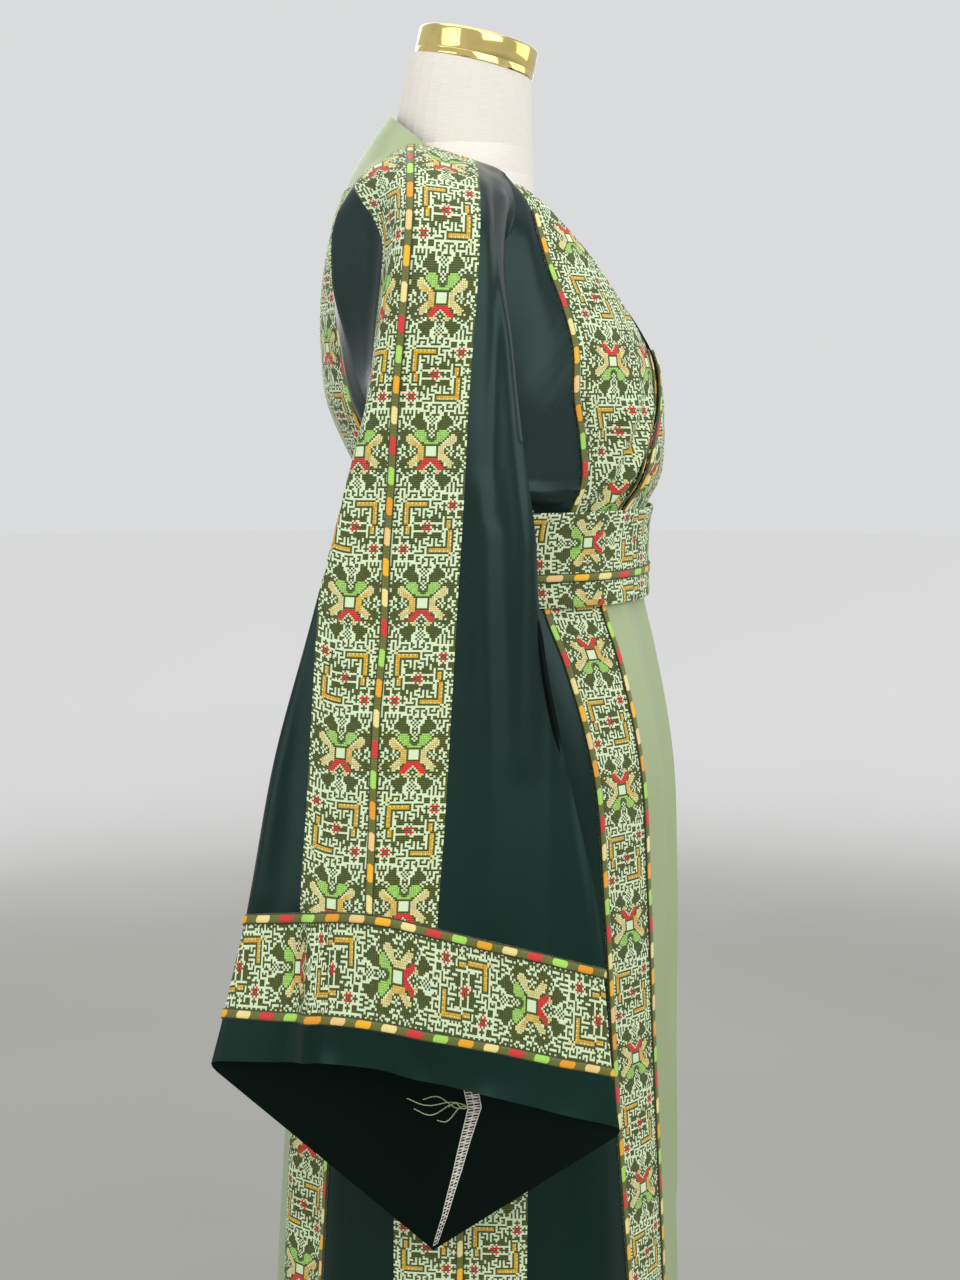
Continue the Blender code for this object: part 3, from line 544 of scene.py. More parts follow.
def paint(red: int, green: int, blue: int) -> Colour:
    """A colour from its display values."""
    def linear(value: int) -> float:
        part = value / 255
        return part / 12.92 if part <= 0.04045 else ((part + 0.055) / 1.055) ** 2.4
    return linear(red), linear(green), linear(blue), 1.0


class Graph:
    """The nodes of one material."""

    def __init__(self, name: str) -> None:
        """Start a material with its Principled shader."""
        self.material = bpy.data.materials.new(name)
        self.material.use_nodes = True
        self.tree = self.material.node_tree
        self.shader = self.tree.nodes["Principled BSDF"]

    def node(self, kind: str, settings: dict, inputs: dict) -> bpy.types.Node:
        """Add a node.

        Args:
            kind: Type of the node.
            settings: Its properties, set first; "stops" are a ramp's places and colours, "steps" makes it
                constant between them.
            inputs: Values or links of its sockets, by name or number.

        Returns:
            The node.
        """
        made = self.tree.nodes.new(kind)
        for key, value in settings.items():
            if key == "stops":
                self.set_stops(made.color_ramp, value, settings.get("steps", False))
            elif key != "steps":
                setattr(made, key, value)
        self.feed(made, inputs)
        return made

    def feed(self, made: bpy.types.Node, inputs: dict) -> None:
        """Set or link sockets of a node."""
        for key, value in inputs.items():
            source = value.socket if isinstance(value, Value) else value
            if isinstance(source, Socket):
                self.tree.links.new(source, made.inputs[key])
            else:
                made.inputs[key].default_value = source

    def value(self, kind: str, settings: dict, inputs: dict) -> Value:
        """Add a node whose first output is a number."""
        return Value(self, self.node(kind, settings, inputs).outputs[0])

    def parts(self, source: Socket, kind: str = "ShaderNodeSeparateXYZ") -> list[Value]:
        """The three numbers of a vector or a colour."""
        made = self.node(kind, {}, {0: source})
        return [Value(self, made.outputs[k]) for k in range(3)]

    def steps(self, colours: Sequence[Colour], number: Value, count: float) -> Socket:
        """One of a list of colours, by number, from a ramp that has room for count of them."""
        stops = [(n / count, colour) for n, colour in enumerate(colours)]
        return self.node("ShaderNodeValToRGB", {"stops": stops, "steps": True},
                         {0: (number + 0.5) / count}).outputs[0]

    @staticmethod
    def set_stops(ramp: bpy.types.ColorRamp, stops: Sequence[tuple[float, Colour]], steps: bool) -> None:
        """Give a colour ramp its stops."""
        ramp.interpolation = "CONSTANT" if steps else "LINEAR"
        while len(ramp.elements) > 1:
            ramp.elements.remove(ramp.elements[-1])
        ramp.elements[0].position, ramp.elements[0].color = stops[0]
        for place, colour in stops[1:]:
            ramp.elements.new(place).color = colour

    def math(self, operation: str, *values: Number) -> Value:
        """Add a Math node."""
        return self.value("ShaderNodeMath", {"operation": operation}, dict(enumerate(values)))

    def blend(self, part: Number, low: Tint, high: Tint, way: str = "MIX") -> Socket:
        """Mix two colours."""
        return self.node("ShaderNodeMix", {"data_type": "RGBA", "blend_type": way, "clamp_factor": True},
                         {0: part, 6: low, 7: high}).outputs[2]

    def shaded(self, colour: Tint, shade: Value) -> Socket:
        """A colour made lighter or darker."""
        return self.blend(1.0, colour, self.vector(shade, shade, shade), "MULTIPLY")

    def cloth(self) -> tuple[Value, Value]:
        """The two coordinates of the place on the cloth, in metres."""
        across, along, _ = self.parts(self.node("ShaderNodeUVMap", {"uv_map": "cloth"}, {}).outputs[0])
        return across, along

    def vector(self, x: Number, y: Number, z: Number = 0.0) -> Socket:
        """Join three numbers."""
        return self.node("ShaderNodeCombineXYZ", {}, {0: x, 1: y, 2: z}).outputs[0]

    def noise(self, place: Socket, scale: float, detail: float = 2.0) -> Value:
        """Smooth noise, about 0 to 1."""
        return self.value("ShaderNodeTexNoise", {"noise_dimensions": "3D"},
                          {"Vector": place, "Scale": scale, "Detail": detail})

    def solid_place(self) -> Socket:
        """The place in the object's own space."""
        return self.node("ShaderNodeTexCoord", {}, {}).outputs["Object"]

    def speckle(self, x: Value, y: Value) -> Value:
        """A different number for each whole pair."""
        return self.value("ShaderNodeTexWhiteNoise", {"noise_dimensions": "2D"}, {"Vector": self.vector(x, y)})

    def bump(self, height: Value, depth: float, strength: float = 1.0) -> None:
        """Give the surface a relief."""
        made = self.node("ShaderNodeBump", {}, {"Height": height, "Distance": depth, "Strength": strength})
        self.tree.links.new(made.outputs[0], self.shader.inputs["Normal"])

    def dress(self, colour: Tint, roughness: Number, **even: float | Colour) -> None:
        """Set the shader's colour, roughness and even values.

        Args:
            colour: Base colour.
            roughness: Roughness.
            even: Other sockets with one value all over; underscores stand for spaces.
        """
        self.feed(self.shader, {"Base Color": colour, "Roughness": roughness,
                                **{key.replace("_", " "): value for key, value in even.items()}})


class Thread(Enum):
    """Colours of embroidery thread, with the ground cloth first."""

    GROUND = (".", (210, 229, 190))
    OLIVE = ("o", (72, 82, 12))
    LIGHT_GREEN = ("g", (166, 218, 104))
    GRASS = ("d", (84, 116, 36))
    RED = ("r", (214, 46, 40))
    APRICOT = ("p", (236, 196, 96))
    CREAM = ("c", (232, 220, 150))
    GOLD = ("y", (232, 176, 36))

    @property
    def mark(self) -> str:
        """Its letter in a chart."""
        return self.value[0]

    @property
    def colour(self) -> Colour:
        """Its colour."""
        return paint(*self.value[1])


FLOWER_END = (  # the rows at both ends of a flower, from the outside inward
    "o.o...oo...o.oo.oo",
    ".o...oooo..o.o...o",
    "o.o..ooooo.o.o.ooo",
)
FLOWER = (  # right half of a flower, from its middle column outward; petals of the two sides are "p"
    *FLOWER_END,
    ".o..ooooooo.oo.o..",
    "o..oooooooo.o..o.o",
    ".o.oooooooo...oo.o",
    "oo.oooooo..oo.oo.o",
    ".o.ooooo.oo.oo.ooo",
    "o.ooggggo.oooooo.o",
    ".ooggggggooooooooo",
    "o.oggggggoccooooo.",
    ".odgggggoccccooo.o",
    "oodggggo.ccccooo.o",
    "odggggo.ppcccoooo.",
    "ggggoo.pppccooooo.",
    "ooooopppppcooo.oo.",
    "...opppcoo.oo..ooo",
    "...opppo.o.oo.o..o",
    "...opppoo.o.ooo.oo",
    "...opppo.o.oo.o..o",
    "...opppcoo.oo..ooo",
    "oooopppccooo.oo.o.",
    "rrrrpppcccooooo.oo",
    "rrrrroppcccooooo.o",
    ".rrrroo.ccccooooo.",
    "o.rrrro.cccooooo.o",
    "oo.rrrroocco.oooo.",
    ".oocrrroooooooo.oo",
    "oo.ccco.o.ooooo..o",
    "o.occoo..oo.oo.ooo",
    "oo.oooooo..oo.oo.o",
    ".o.oooooooo...oo.o",
    "o..oooooooo.o..o.o",
    ".o..ooooooo.oo.o.o",
    *FLOWER_END[::-1],
)
BAND = (  # from below a flower to the middle star, all the way across; the rest is its half turn
    "oo.ooooo.oo.oo..o.o..oo.oo.o.o.o.o.o",
    "o..o...o.oo.oo...o...oo.oo.o.o.o.o.o",
    "o.oo.o.o......o..o..o......o.o.o.o.o",
    "..o..o.o.oooo.oo.o.oo.oo...........o",
    "oooo.o.c.o..o.o..o..o..o...........o",
    "o....oc.oo.oo..ooooo..oo............",
    "o.oo..co.........................oo.",
    "o.o..o.cooooooooooo.ooooo...........",
    "o.ooo.oycycycycycyo.o...............",
    "o.....oyyyyyyyyyyyo.oo.o............",
    "ooo.o.oyyoooooooooo....o............",
    "..o...ocyo.o...o...ooo.oo.o.........",
    "oooo..oyyo.ooo.o.o...o.oo...........",
    "o..o.oocyo...o.o.ooo.o.o.o.o.o.o.o.o",
    "oo.o..oyyo.ooo.o.o...ooo.o.ooooo.ooo",
    "...o.oocyo..ooo..o..ooo..o.o...o...o",
    "oooo..oyyo..ooo.ooo.ooo.oo.oooo.oooo",
    "o....oocyo..ooo.....ooo.oo.oyco..o.o",
    "o.oo..oyyo.o...............oyyo.o...",
    "o..o.oooo...oo.......oo.oo.oyco..o.o",
    "oooo........oo.......oo.oo.oyyo.oooo",
)
STAR = (  # a star with its spokes and corner blocks
    "ooo..o..ooo",
    "ooo.ooo.ooo",
    "ooo..o..ooo",
    "....r.r....",
    ".o.rrorr.o.",
    "ooo.oro.ooo",
    ".o.rrorr.o.",
    "....r.r....",
    "ooo..o..ooo",
    "ooo.ooo.ooo",
    "ooo..o..ooo",
)


@dataclass(frozen=True)
class Chart:
    """One repeat of the cross-stitch, put together from motifs and packed into colour ramps."""

    columns: int = STITCH_COLUMNS
    rows: int = STITCH_ROWS
    middle: int = STITCH_COLUMNS // 2  # column of a flower's middle
    band: int = STITCH_ROWS // 2  # row of the middle star, counted from a flower's middle
    star: tuple[int, int] = (7, 22)  # columns from the middle, and row, of the other star's first stitch
    seam_gap: int = 3  # every third stitch down the first column may stay unworked
    bits: int = 3  # of one stitch
    packed: int = 6  # stitches in one channel of a stop
    ramp_rows: tuple[tuple[int, int], ...] = ((0, 26), (26, 25), (51, 25))  # first row and count of each ramp

    def cells(self) -> Array:
        """Thread number of each stitch, by row and column; row 0 is a flower's middle."""
        marks = {thread.mark: n for n, thread in enumerate(Thread)}
        cells = np.zeros((self.rows, self.columns), int)

        def put(row: int, column: int, mark: str) -> None:
            if 0 <= column < self.columns and mark != ".":
                cells[row % self.rows, column] = marks[mark]

        half = len(FLOWER) // 2
        for n, line in enumerate(FLOWER):
            for k, mark in enumerate(line):
                put(n - half, self.middle + k, {"p": "c"}.get(mark, mark))
                put(n - half, self.middle - k, mark)
        for n, line in enumerate(BAND):
            for k, mark in enumerate(line):
                put(half + n, k, mark)
                put(2 * self.band - half - n, 2 * self.middle + 1 - k, mark)
        reach = len(STAR) // 2
        column, row = self.star
        for n, line in enumerate(STAR):
            for k, mark in enumerate(line):
                put(self.band - reach + n, self.middle - reach + k, mark)
                put(row + n, self.middle + column + k, mark)
                put(2 * self.band - row - n, self.middle + 1 - column - k, mark)
        # Stitches down the first column keep two repeats side by side from parting at a pale line
        for row in range(self.rows):
            if row % self.seam_gap and not cells[row, 0]:
                put(row, 0, "o")
        return cells

    @property
    def full(self) -> float:
        """One more than the largest number that a channel holds."""
        return float(2 ** (self.bits * self.packed))

    def ramps(self) -> list[tuple[int, int, list[tuple[float, Colour]]]]:
        """The chart as ramps.

        Returns:
            For each ramp its first row, how many rows it holds, and its stops. Ramps of the first and the
            second half of the columns alternate.
        """
        cells = self.cells()
        made = []
        for first, count in self.ramp_rows:
            for half in (0, self.middle):
                stops = []
                for n in range(count):
                    channels = cells[first + n, half:half + self.middle].reshape(3, self.packed)
                    numbers = [float(sum(int(v) << (self.bits * k) for k, v in enumerate(six))) / self.full
                               for six in channels]
                    stops.append((n / count, (*numbers, 1.0)))
                made.append((first, count, stops))
        return made


@dataclass(frozen=True)
class Embroidery:
    """Cross-stitch on pale ground cloth, worked from the chart."""

    name: str = "embroidery"
    chart: Chart = Chart()
    relief: float = 0.0007
    strands: float = 3.0  # strands of thread across one stitch
    dark: float = 0.80  # painted shade at a stitch's rim
    uneven: float = 0.26  # how much the shade differs from stitch to stitch
    dome_highlight: float = 0.22  # painted highlight: how much lighter its middle is
    # painted shade between the strands of a stitch
    strand_shade: float = 0.16
    gap: tuple[float, float, float] = (0.72, 1.0, 0.42)  # where it gives way to the cloth between rows, how much
    weave: float = 900.0
    ground_dark: Shade = (189, 207, 162)
    ground_light: Shade = (227, 241, 205)

    def material(self) -> Material:
        """Make the material."""
        g = Graph(self.name)
        across, along = g.cloth()
        # Cloth wider than the chart goes on with the next repeat, half a repeat lower
        columns, rows = float(self.chart.columns), float(self.chart.rows)
        wide = abs(across) / (HALF_STRIP / columns)
        over = (wide / columns).floor()
        cell = wide % columns
        line = (along / (REPEAT / rows) + over * float(self.chart.band)) % rows
        column, row = cell.floor(), line.floor()
        thread = self.look_up(g, column, row)
        x, y = cell - column, line - row
        colour = g.steps([kind.colour for kind in Thread], thread, 2.0 ** self.chart.bits)
        worked = thread > 0.5
        gap_x, gap_y = abs(x - 0.5) * 2, abs(y - 0.5) * 2
        dome = (1 - gap_x * gap_x * gap_x * gap_x) * (1 - gap_y * gap_y * gap_y)
        strand = g.math("PINGPONG", (x + y) * self.strands, 1.0)
        # Painted shade and highlight: each stitch is darker at its rim, lighter in its middle and darker between its
        # strands, with a random tone per stitch
        shade = (self.dark + self.dome_highlight * dome + (g.speckle(column, row) - 0.5) * self.uneven
                 + (strand - 0.5) * self.strand_shade)
        low, high, depth = self.gap
        shown = g.blend(worked * (1 - gap_y.ramp(low, high) * depth), Thread.GROUND.colour, g.shaded(colour, shade))
        weave = g.noise(g.vector(across * self.weave, along * self.weave), 1.0, 1.0)
        shown = g.blend((1 - worked) * 0.5, shown, g.blend(weave, paint(*self.ground_dark), paint(*self.ground_light)))
        g.dress(shown, 0.62 - 0.14 * worked, Specular_IOR_Level=0.25, Sheen_Weight=0.03, Sheen_Roughness=0.5)
        g.bump(worked * dome + weave * 0.08, self.relief, 0.9)
        return g.material

    def look_up(self, g: Graph, column: Value, row: Value) -> Value:
        """The thread number of a stitch.

        Args:
            g: The material's graph.
            column: The stitch's column.
            row: Its row.

        Returns:
            The number of its thread.
        """
        chart = self.chart
        second = column > chart.middle - 0.5
        local = column - second * float(chart.middle)
        channel = (local / float(chart.packed) + 0.01).floor()
        digit = local - channel * float(chart.packed)
        found: Socket | None = None
        ramps = chart.ramps()
        for k in range(0, len(ramps), 2):
            pair = []
            for first, count, stops in ramps[k:k + 2]:
                at = ((row - (first - 0.5)) / count).clamp()
                pair.append(g.node("ShaderNodeValToRGB", {"stops": stops, "steps": True}, {0: at}).outputs[0])
            both = g.blend(second, *pair)
            found = both if found is None else g.blend(row > ramps[k][0] - 0.5, found, both)
        red, green, blue = g.parts(found, "ShaderNodeSeparateColor")
        picked = red * (channel < 0.5) + green * (abs(channel - 1.0) < 0.5) + blue * (channel > 1.5)
        whole = (picked * chart.full + 0.5).floor()
        kinds = 2.0 ** chart.bits
        return ((whole + 0.5) / kinds ** digit).floor() % kinds


@dataclass(frozen=True)
class WovenRibbon:
    """A narrow trim with coloured satin-stitch blocks between dark edges."""

    name: str = "ribbon"
    blocks: tuple[Shade, ...] = (
        (216, 46, 40), (170, 226, 92), (242, 160, 18), (246, 206, 134), (250, 186, 24),
        (246, 228, 146), (216, 46, 40), (170, 226, 92), (244, 172, 20), (246, 228, 146),
    )
    share: float = 0.62  # how much of the pitch a block takes
    slant: float = 14.0  # how far a block's ends lean, in pitches a metre
    rim: tuple[float, float] = (0.68, 0.76)  # where a block ends and the dark edge begins
    strand: float = 0.0006
    olive: tuple[Shade, ...] = ((66, 72, 14), (122, 124, 44))  # ground between the blocks
    edge: Shade = (52, 56, 16)

    def material(self) -> Material:
        """Make the material."""
        g = Graph(self.name)
        across, along = g.cloth()
        place = along / BLOCK_PITCH
        number = place.floor()
        at = abs(place - number - 0.5 + across * self.slant)
        off = abs(across) / (RIBBON / 2)
        count = float(len(self.blocks))
        thread = g.steps([paint(*block) for block in self.blocks], number % count, count)
        block = 1 - (at + off * off * 0.10).ramp(self.share / 2 - 0.03, self.share / 2)
        block = block * (1 - off.ramp(*self.rim))
        strand = g.math("PINGPONG", along / self.strand + off * 0.6, 1.0)
        speck = g.noise(g.vector(across * 2600, along * 900), 1.0, 1.0)
        # Painted shade: darker between the strands and toward the ribbon's rounded edges, with random specks of tone
        shade = 0.80 + 0.26 * strand + (speck - 0.5) * 0.3 - off * off * 0.22
        olive = g.blend(strand, *(paint(*shade) for shade in self.olive))
        base = g.blend(off.ramp(0.66, 0.80), olive, paint(*self.edge))
        g.dress(g.blend(block, base, g.shaded(thread, shade)), 0.48, Specular_IOR_Level=0.5, Sheen_Weight=0.1)
        g.bump(strand * 0.35 + block * 0.8 - off.ramp(0.7, 0.8) * 0.4, 0.0005, 0.8)
        return g.material


@dataclass(frozen=True)
class Satin:
    """Plain satin with a soft sheen."""

    name: str
    colour: Shade
    deep: Shade
    roughness: float = 0.40
    sheen: float = 0.25
    gloss: float = 0.4
    shine: Shade = (235, 245, 235)
    ripple: float = 0.0012
    upper: Shade | None = None  # painted sheen: a cooler, greyer colour above the waist that stands in for the cool sheen there
    rise: tuple[float, float] = (0.70, 1.15)  # heights between which the painted sheen colour takes over

    def material(self) -> Material:
        """Make the material."""
        g = Graph(self.name)
        across, along = g.cloth()
        place = g.solid_place()
        soft = g.noise(place, 5.0, 2.0)
        slub = g.noise(g.vector(across * 180, along * 2200), 1.0, 1.0)
        weave = g.noise(g.vector(across * 3000, along * 500), 1.0, 1.0)
        main: Tint = paint(*self.colour)
        # Painted sheen: the colour turns cooler and greyer with height
        if self.upper:
            main = g.blend(g.parts(place)[2].ramp(*self.rise), main, paint(*self.upper))
        colour = g.blend((soft * 0.7 + slub * 0.3).ramp(0.2, 0.8), paint(*self.deep), main)
        g.dress(colour, self.roughness + (slub - 0.5) * 0.08, Specular_IOR_Level=self.gloss,
                Specular_Tint=paint(*self.shine), Sheen_Weight=self.sheen, Sheen_Roughness=0.35,
                Sheen_Tint=paint(*self.colour))
        pull = g.noise(g.vector(across * 26, along * 7), 1.0, 2.0)
        g.bump(pull * self.ripple * 1000 + weave * 0.03 + slub * 0.03, 0.001, 0.5)
        return g.material


@dataclass(frozen=True)
class Linen:
    """The dress form's off-white cover, plainly woven."""

    name: str = "linen"
    radius: float = 0.07  # of the form about its own height
    yarn: float = 0.0006
    tones: tuple[Shade, ...] = ((218, 212, 201), (230, 226, 216))

    def material(self) -> Material:
        """Make the material."""
        g = Graph(self.name)
        place = g.solid_place()
        x, y, z = g.parts(place)
        turn = g.math("ARCTAN2", y, x) * self.radius
        warp = g.math("PINGPONG", turn / self.yarn, 1.0)
        weft = g.math("PINGPONG", z / self.yarn, 1.0)
        slub = g.noise(g.vector(turn * 60, z * 900), 1.0, 2.0)
        soil = g.noise(place, 7.0, 3.0)
        colour = g.blend((slub * 0.4 + soil * 0.6).ramp(0.3, 0.75), *(paint(*tone) for tone in self.tones))
        g.dress(colour, 0.9, Specular_IOR_Level=0.25, Sheen_Weight=0.2)
        g.bump(warp * weft + slub, 0.0003, 0.5)
        return g.material


@dataclass(frozen=True)
class Metal:
    """Polished or brushed metal."""

    name: str
    colour: Shade
    roughness: float
    brushed: float = 0.0
    worn: tuple[float, float, float] = (0.93, 0.92, 0.88)  # shares of each colour where it is dull

    def material(self) -> Material:
        """Make the material."""
        g = Graph(self.name)
        place = g.solid_place()
        smear = g.noise(place, 38.0, 3.0)
        x, y, z = g.parts(place)
        lines = g.noise(g.vector(x * 30, y * 30, z * 2400), 1.0, 1.0)
        worn = (int(value * part) for value, part in zip(self.colour, self.worn))
        colour = g.blend(smear.ramp(0.35, 0.7), paint(*self.colour), paint(*worn))
        g.dress(colour, self.roughness + smear * 0.06 + lines * self.brushed, Metallic=1.0)
        g.bump(lines * self.brushed + smear * 0.05, 0.0002, 0.4)
        return g.material


@dataclass(frozen=True)
class Floor:
    """A plain pale floor with a painted glow that grows with distance, so that it fades into the background."""

    name: str = "floor"
    fade: tuple[float, float] = (4.5, 15.0)  # squares of the distances between which the painted glow comes in
    tones: tuple[Shade, ...] = ((153, 153, 148), (160, 160, 155))
    # painted glow of the far floor
    far_glow: Shade = (168, 169, 172)

    def material(self) -> Material:
        """Make the material."""
        g = Graph(self.name)
        place = g.solid_place()
        mottle = g.noise(place, 1.7, 2.0)
        x, y, _ = g.parts(place)
        # Painted light: the far floor glows so that it fades into the backdrop
        far = (x * x + y * y).ramp(*self.fade)
        g.dress(g.blend(mottle, *(paint(*tone) for tone in self.tones)), 0.85, Specular_IOR_Level=0.2,
                Emission_Color=g.blend(far, paint(0, 0, 0), paint(*self.far_glow)), Emission_Strength=1.0)
        g.material.cycles.emission_sampling = "NONE"
        return g.material


class Finishes:
    """Every finish, made once; those that a slot shows have the slot's name."""

    def __init__(self) -> None:
        """Make the materials."""
        self.embroidery = Embroidery().material()
        self.ribbon = WovenRibbon().material()
        # The dark satin's upper colour is a painted cool sheen above the waist
        self.dark_satin = Satin("dark_satin", (9, 36, 28), (5, 25, 19), roughness=0.29, sheen=0.03, gloss=0.42,
                          shine=(160, 196, 190), ripple=0.0026, upper=(33, 46, 46)).material()
        # Dark reverse of the satin, also inside the embroidered pieces; along the crossed fronts' free edges it is
        # painted shade
        self.lining = Satin("satin_inside", (9, 18, 15), (6, 13, 11), roughness=0.6, sheen=0.0, gloss=0.12,
                            shine=(150, 190, 175)).material()
        self.mint_satin = Satin("mint_satin", (158, 171, 130), (147, 161, 119), sheen=0.06).material()
        self.ground = Satin("ground_cloth", (194, 210, 164), (180, 198, 148), roughness=0.75, sheen=0.05).material()
        self.thread = Linen("overlock_thread").material()
        self.linen = Linen().material()
        self.gold_cap = Metal("gold_cap", (226, 206, 134), roughness=0.07).material()
        self.stand_metal = Metal("stand_metal", (205, 205, 206), roughness=0.26, brushed=0.12).material()


# ------------------------------------------------------------------------------------------------- form


def rounded(value: Array, squareness: float) -> Array:
    """A rounded-square sine or cosine."""
    return np.copysign(np.abs(value) ** (2 / squareness), value)


SECTION_POINTS = 241  # odd, so that one lies at the widest place


@lru_cache(maxsize=None)
def half_section(height: float) -> Patch:
    """Points of the right half of the dress's cross-section, and the length of cloth up to each."""
    half, widest, front, back, square = hermite(np.array(BODY_SECTIONS), np.array([height]))[0]
    angles = np.linspace(0.0, pi, SECTION_POINTS)
    reach = np.where(np.cos(angles) > 0, widest - front, back - widest)
    x = -half * rounded(np.sin(angles), square)
    y = widest - reach * rounded(np.cos(angles), square)
    x[-1] = x[0] = 0.0
    points = np.stack([x, y, np.full_like(x, height)], axis=1)
    return points, lengths_along(points)


def on_body(height: float, arcs: Array) -> Array:
    """Points that lie a length of cloth from the centre front; plus goes to the wearer's right."""
    points, lengths = half_section(round(float(height), 6))
    arcs = np.asarray(arcs, float)
    place = [np.interp(np.abs(arcs), lengths, points[:, k]) for k in range(3)]
    place[0] = np.where(arcs < 0, -1.0, 1.0) * place[0]
    return np.stack(place, axis=-1)


def girth(height: float) -> float:
    """Length of cloth from the centre front to the centre back."""
    return float(half_section(round(float(height), 6))[1][-1])


def side_arc(height: float) -> float:
    """Length of cloth from the centre front to the middle of the side strip."""
    lengths = half_section(round(float(height), 6))[1]
    return float(lengths[len(lengths) // 2]) + SIDE_SHIFT


def body_middle(height: float) -> Array:
    """The middle of the dress at a height."""
    return np.array([0.0, hermite(np.array(BODY_SECTIONS), np.array([height]))[0][1], height])


def seam_value(table: Sequence, column: int, height: float) -> float:
    """One column of a table of seams at a height."""
    return float(hermite(np.array(table), np.array([height]))[0][column - 1])


def back_seam(height: float) -> float:
    """Arc of the bodice's back seam, where the satin meets the back strip."""
    return girth(height) - seam_value(BODICE_SEAMS, 4, height)


def side_edges() -> tuple[Line, Line]:
    """The side strip's two edges as arcs by height."""
    return lambda h: side_arc(h) - HALF_STRIP, lambda h: side_arc(h) + HALF_STRIP


def outward(points: Array, height: float) -> Array:
    """Level directions from the middle of the dress through points of one height."""
    way = points - body_middle(height)
    way[..., 2] = 0.0
    return way / norm(way, axis=-1)[..., None]


class Laying(Enum):
    """How the embroidery runs on a strip."""

    ALONG = 0  # flowers stand as on the sleeve
    TURNED = 1  # the same, turned half way round


def chart_places(off: Array, down: Array, laying: Laying, phase: float) -> Array:
    """Places on the embroidery chart.

    Args:
        off: Distance from the ribbon's middle.
        down: Length of cloth from the top.
        laying: How the embroidery runs.
        phase: Length down to a flower's middle.

    Returns:
        The two chart coordinates of each place.
    """
    if laying is Laying.TURNED:
        return paired(HALF_STRIP - off, phase - down)
    return paired(off, down - phase)


def body_grid(heights: Array, low: Line, high: Line, columns: Array, stand: Stand | None = None) -> Patch:
    """A patch of the dress's form between two seams.

    Args:
        heights: Heights of its rows.
        low: Arc of one seam at a height.
        high: Arc of the other.
        columns: Shares of the way from one to the other.
        stand: How far its points stand off the form, from the height and the arcs.

    Returns:
        Points in rows, and their places: arc and length down.
    """
    rows, arcs = [], []
    for height in heights:
        arc = mix(low(height), high(height), columns)
        row = on_body(height, arc)
        if stand is not None:
            row = row + outward(row, height) * stand(height, arc)[:, None]
        rows.append(row)
        arcs.append(arc)
    points = np.array(rows)
    return points, paired(np.array(arcs), lengths_along(points[:, points.shape[1] // 2])[:, None])


def ribbon_patch(heights: Array, middle: Line, stand: Stand | None = None) -> Patch:
    """Points and places of a ribbon about a line of arcs on the dress's form."""
    return body_grid(heights, lambda h: middle(h) - RIBBON / 2, lambda h: middle(h) + RIBBON / 2,
                     np.linspace(0, 1, len(RIBBON_OFFS)), stand)


def arcs_of(line: Line, heights: Array) -> Array:
    """Arcs of a line at the heights, as a column."""
    return np.array([line(height) for height in heights])[:, None]


# ---------------------------------------------------------------------------------------- sub-assemblies


class Side(Enum):
    """A side of the wearer, with the sign of its arcs."""

    RIGHT = ("right", 1.0)
    LEFT = ("left", -1.0)

    @property
    def label(self) -> str:
        """Its name."""
        return self.value[0]

    @property
    def sign(self) -> float:
        """Sign of an arc on that side."""
        return self.value[1]

    def place(self, grid: Grid) -> Grid:
        """A patch of the right side, on this side."""
        return grid if self is Side.RIGHT else grid.mirrored()


class Slot(Enum):
    """Material slots, whose finishes the pieces take."""

    LINEN = "linen"
    GOLD = "gold_cap"
    METAL = "stand_metal"
    DARK = "dark_satin"
    MINT = "mint_satin"
    EMBROIDERY = "embroidery"
    RIBBON = "ribbon"


def ribbon_crown(across: Array) -> Array:
    """Thickness of a ribbon across its width."""
    part = np.clip(np.abs(across) / (RIBBON / 2), 0.0, 1.0)
    return RIBBON_RIM + RIBBON_CROWN * np.sqrt(np.maximum(1 - part ** 2.6, 0.0))


@dataclass
class Maker:
    """Turns shells into finished pieces and logs each one's cut."""

    finishes: Finishes

    def outside(self, slot: Slot) -> Material:
        """The finish that a slot shows."""
        return getattr(self.finishes, slot.value)

    def inside(self, slot: Slot) -> Material:
        """The finish of a piece's inner face."""
        return {Slot.MINT: self.finishes.mint_satin, Slot.RIBBON: self.finishes.ribbon,
                Slot.DARK: self.finishes.lining}.get(slot, self.finishes.ground)

    def sew(self, node: str, shell: Shell, slot: Slot) -> Item:
        """Make a piece of cloth that stands for its solid.

        Args:
            node: The solid.
            shell: The piece's form.
            slot: The material slot it takes its finish from.

        Returns:
            The piece.
        """
        inside = self.finishes.lining if shell.dark_inside else self.inside(slot)
        item = shell.build(self.outside(slot), inside)
        self.place(item, slot, node)
        width, length, area = shell.cut(item)
        LOG.info("%s: cut %.3f x %.3f m, %.4f m2, %d faces", item.name, width, length, area,
                 len(item.data.polygons))
        return item

    def trim(self, node: str, name: str, grid: Grid, panel: str, folds: Lift | None = None) -> None:
        """Make a ribbon that lies on a panel.

        Args:
            node: The solid.
            name: The piece's name.
            grid: Its patch.
            panel: The solid of its panel; not used.
            folds: Lift of the panel's folds.
        """
        shell = Shell(name, [grid], lift=RIBBON_LIFT, folds=folds, crown=ribbon_crown)
        self.sew(node, shell, Slot.RIBBON)

    @staticmethod
    def place(item: Item, slot: Slot, node: str = "") -> None:
        """Put a piece on the one body that every piece rides on, and hide the solid it stands for."""
        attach(item, "root")
        if node:
            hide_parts(node)

    def keep(self, node: str, slot: Slot) -> None:
        """Dress a solid that is shown as it is."""
        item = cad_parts[node]
        item.data.materials.clear()
        item.data.materials.append(self.outside(slot))
        LOG.info("%s: kept", node)


